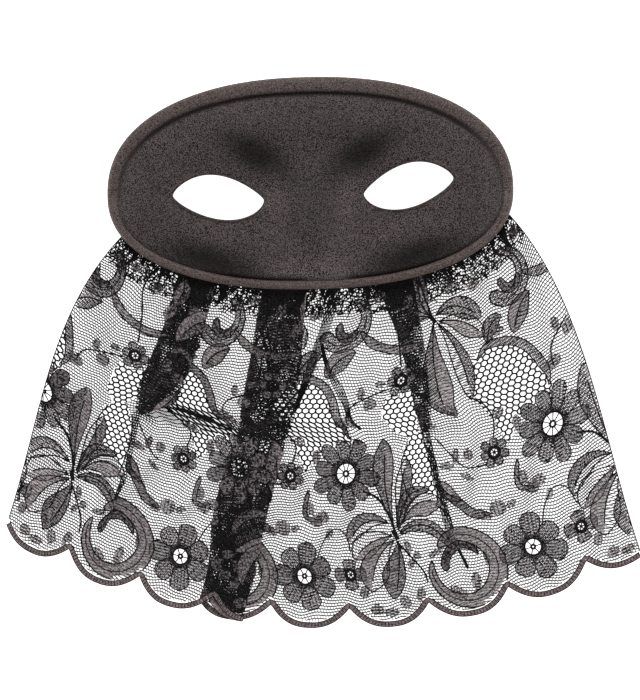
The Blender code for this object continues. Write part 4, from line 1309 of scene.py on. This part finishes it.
def make_thread(name, dark, light, roughness):
    """Make a spun thread: two close tones along its twist and a slight fuzz."""
    material = bpy.data.materials.new(name)
    nodes, links, shader = node_group(material)
    place = nodes.new("ShaderNodeTexCoord")
    twist = nodes.new("ShaderNodeTexNoise")
    twist.inputs["Scale"].default_value = 1100.0
    twist.inputs["Detail"].default_value = 2.0
    ramp = nodes.new("ShaderNodeValToRGB")
    ramp.color_ramp.elements[0].position = 0.42
    ramp.color_ramp.elements[0].color = (*dark, 1.0)
    ramp.color_ramp.elements[1].position = 0.62
    ramp.color_ramp.elements[1].color = (*light, 1.0)
    bump = nodes.new("ShaderNodeBump")
    bump.inputs["Strength"].default_value = 0.4
    bump.inputs["Distance"].default_value = 0.0001
    links.new(place.outputs["Object"], twist.inputs["Vector"])
    links.new(twist.outputs["Fac"], ramp.inputs["Fac"])
    links.new(ramp.outputs["Color"], shader.inputs["Base Color"])
    links.new(twist.outputs["Fac"], bump.inputs["Height"])
    links.new(bump.outputs["Normal"], shader.inputs["Normal"])
    shader.inputs["Roughness"].default_value = roughness
    shader.inputs["Sheen Weight"].default_value = 0.03
    shader.inputs["Specular IOR Level"].default_value = 0.12
    return material


def make_lace(veil, pattern):
    """Make the lace: ground nets, filled motifs, cords and the ladder edging."""
    net_black = make_thread("net_thread", (0.006, 0.005, 0.005), (0.024, 0.021, 0.022), 0.7)
    petal_grey = make_thread("petal_thread", (0.004, 0.003, 0.004), (0.350, 0.312, 0.318), 0.75)
    leaf_grey = make_thread("leaf_thread", (0.006, 0.005, 0.006), (0.380, 0.336, 0.343), 0.75)
    pale_grey = make_thread("pale_leaf_thread", (0.12, 0.104, 0.107), (0.56, 0.49, 0.505), 0.75)
    cord_black = make_thread("cord_thread", (0.003, 0.003, 0.003), (0.012, 0.010, 0.011), 0.6)
    hem_brown = make_thread("edging_thread", (0.22, 0.17, 0.17), (0.50, 0.41, 0.41), 0.7)
    ground = lay_threads("lace_ground", veil, ground_rows(pattern), ROW_THREAD, net_black)
    bars = lay_threads("lace_ground_bars", veil, ground_bars(pattern), BAR_THREAD, net_black)
    coarse = lay_threads("lace_coarse_net", veil, coarse_net(pattern), COARSE_THREAD, cord_black)
    fills = {values[0]: named(FILL_COLUMNS, values) for values in FILLS}
    groups = {"flowers": ([], []), "leaves": ([], []), "pale": ([], [])}
    for loop, kind, degrees, group in pattern.fills:
        lines, widths = groups[group]
        for turn, spacing in fills[kind]["sets"]:
            for thread in hatch(loop, degrees + turn, spacing):
                copies = repeated(thread)
                lines += copies
                widths += [fills[kind]["thread"]] * len(copies)
    flowers = lay_threads("lace_flowers", veil, *groups["flowers"], petal_grey, 0.05)
    leaves = lay_threads("lace_leaves", veil, *groups["leaves"], leaf_grey, 0.05)
    pale = lay_threads("lace_light_fillings", veil, *groups["pale"], pale_grey, 0.08)
    tucks, creases = tuck_threads(), crease_threads()
    gathers = lay_threads("lace_gathers", veil, tucks + creases,
                          [TUCK_THREAD] * len(tucks) + [CREASE_THREAD] * len(creases), cord_black, 0.1)
    cord_lines, cord_widths = [], []
    for line, width in pattern.cords:
        for copy in repeated(even_steps(line) if len(line) > 2 else line):
            cord_lines.append(copy)
            cord_widths.append(width)
    selvedges = [even_steps(np.array(((0.3, 0.5), (0.3, LACE_LENGTH)))),
                 even_steps(np.array(((LACE_WIDTH - 0.3, 0.5), (LACE_WIDTH - 0.3, LACE_LENGTH + 6.0))))]
    cords = lay_threads("lace_cords", veil, cord_lines + selvedges,
                        cord_widths + [0.5] * len(selvedges), cord_black, 0.18)
    rails, band, rungs = edging_threads()
    edging = lay_threads("lace_edging", veil, rails + rungs,
                         [EDGING_RAIL] * len(rails) + [EDGING_BAR] * len(rungs), net_black, 0.12)
    edging_band = lay_threads("lace_edging_band", veil, band, EDGING_BAND, hem_brown, 0.0)
    dressing = [bars, coarse, flowers, leaves, pale, gathers, cords, edging, edging_band]
    for piece in [ground] + dressing:
        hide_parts("lace_veil")
    return ground, dressing


def make_floor():
    """Make the pale shadowless table that the mask lies on."""
    bpy.ops.mesh.primitive_plane_add(size=6.0, location=(0.0, 0.0, -0.0005))
    floor = bpy.context.object
    floor.name = "pale_floor"
    material = bpy.data.materials.new("pale_floor")
    nodes, links, shader = node_group(material)
    shader.inputs["Base Color"].default_value = (0.9, 0.9, 0.9, 1.0)
    shader.inputs["Roughness"].default_value = 0.9
    shader.inputs["Emission Color"].default_value = (1.0, 1.0, 1.0, 1.0)
    shader.inputs["Emission Strength"].default_value = 1.1
    floor.data.materials.append(material)


def add_area_light(name, place, size, energy):
    """Add a square soft light that faces the mask."""
    light = bpy.data.lights.new(name, "AREA")
    light.energy = energy
    light.size = size
    lamp = bpy.data.objects.new(name, light)
    lamp.location = place
    lamp.rotation_mode = "QUATERNION"
    lamp.rotation_quaternion = (-Vector(place)).to_track_quat("-Z", "Y")
    bpy.context.scene.collection.objects.link(lamp)


def make_lights():
    """Make the soft studio light."""
    world = bpy.data.worlds.new("studio")
    world.use_nodes = True
    world.node_tree.nodes["Background"].inputs["Color"].default_value = (1.0, 1.0, 1.0, 1.0)
    world.node_tree.nodes["Background"].inputs["Strength"].default_value = 0.26
    bpy.context.scene.world = world
    add_area_light("brow_key", (-0.1, 1.6, 1.5), 0.8, 27.0)
    add_area_light("low_fill", (0.1, -1.6, 1.2), 0.8, 6.0)
    add_area_light("left_edge_light", (-1.7, -0.1, 0.5), 0.5, 6.0)
    add_area_light("right_edge_light", (1.7, -0.1, 0.5), 0.5, 8.0)


# Camera: the photograph looks straight down on the mask
PHOTO_HEIGHT = 700
MM_PER_PIXEL = 0.4433
CAMERA_HEIGHT = 3.0
CAMERA_CENTRE = (-0.00015, 0.0015)
CAMERA_ROLL_DEGREES = -1.2


def make_camera():
    """Make the camera straight above the mask, turned as the photograph is."""
    camera = bpy.data.cameras.new("camera")
    camera.sensor_width = 36.0
    camera.sensor_fit = "AUTO"
    seen = PHOTO_HEIGHT * MM_PER_PIXEL * MM
    camera.lens = camera.sensor_width * CAMERA_HEIGHT / seen
    camera.clip_end = 20.0
    holder = bpy.data.objects.new("camera", camera)
    holder.location = (*CAMERA_CENTRE, CAMERA_HEIGHT)
    holder.rotation_euler = (0.0, 0.0, math.radians(CAMERA_ROLL_DEGREES))
    bpy.context.scene.collection.objects.link(holder)
    bpy.context.scene.camera = holder


def main():
    """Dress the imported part."""
    bpy.context.scene.view_settings.view_transform = "Standard"
    make_camera()
    make_lights()
    make_floor()
    # The shell's satin takes its painted shade and light from the colour attribute
    satin = make_satin("mask_satin", (0.001, 0.001, 0.001), (0.128, 0.103, 0.103), 0.6, 0.018, PAINTED_SHADING_NAME)
    binding = make_satin("binding_satin", (0.034, 0.025, 0.023), (0.176, 0.141, 0.133), 0.5, 0.06)
    make_shell(satin)
    make_binding(binding)
    veil = Veil()
    pattern = Pattern()
    ground, dressing = make_lace(veil, pattern)


main()
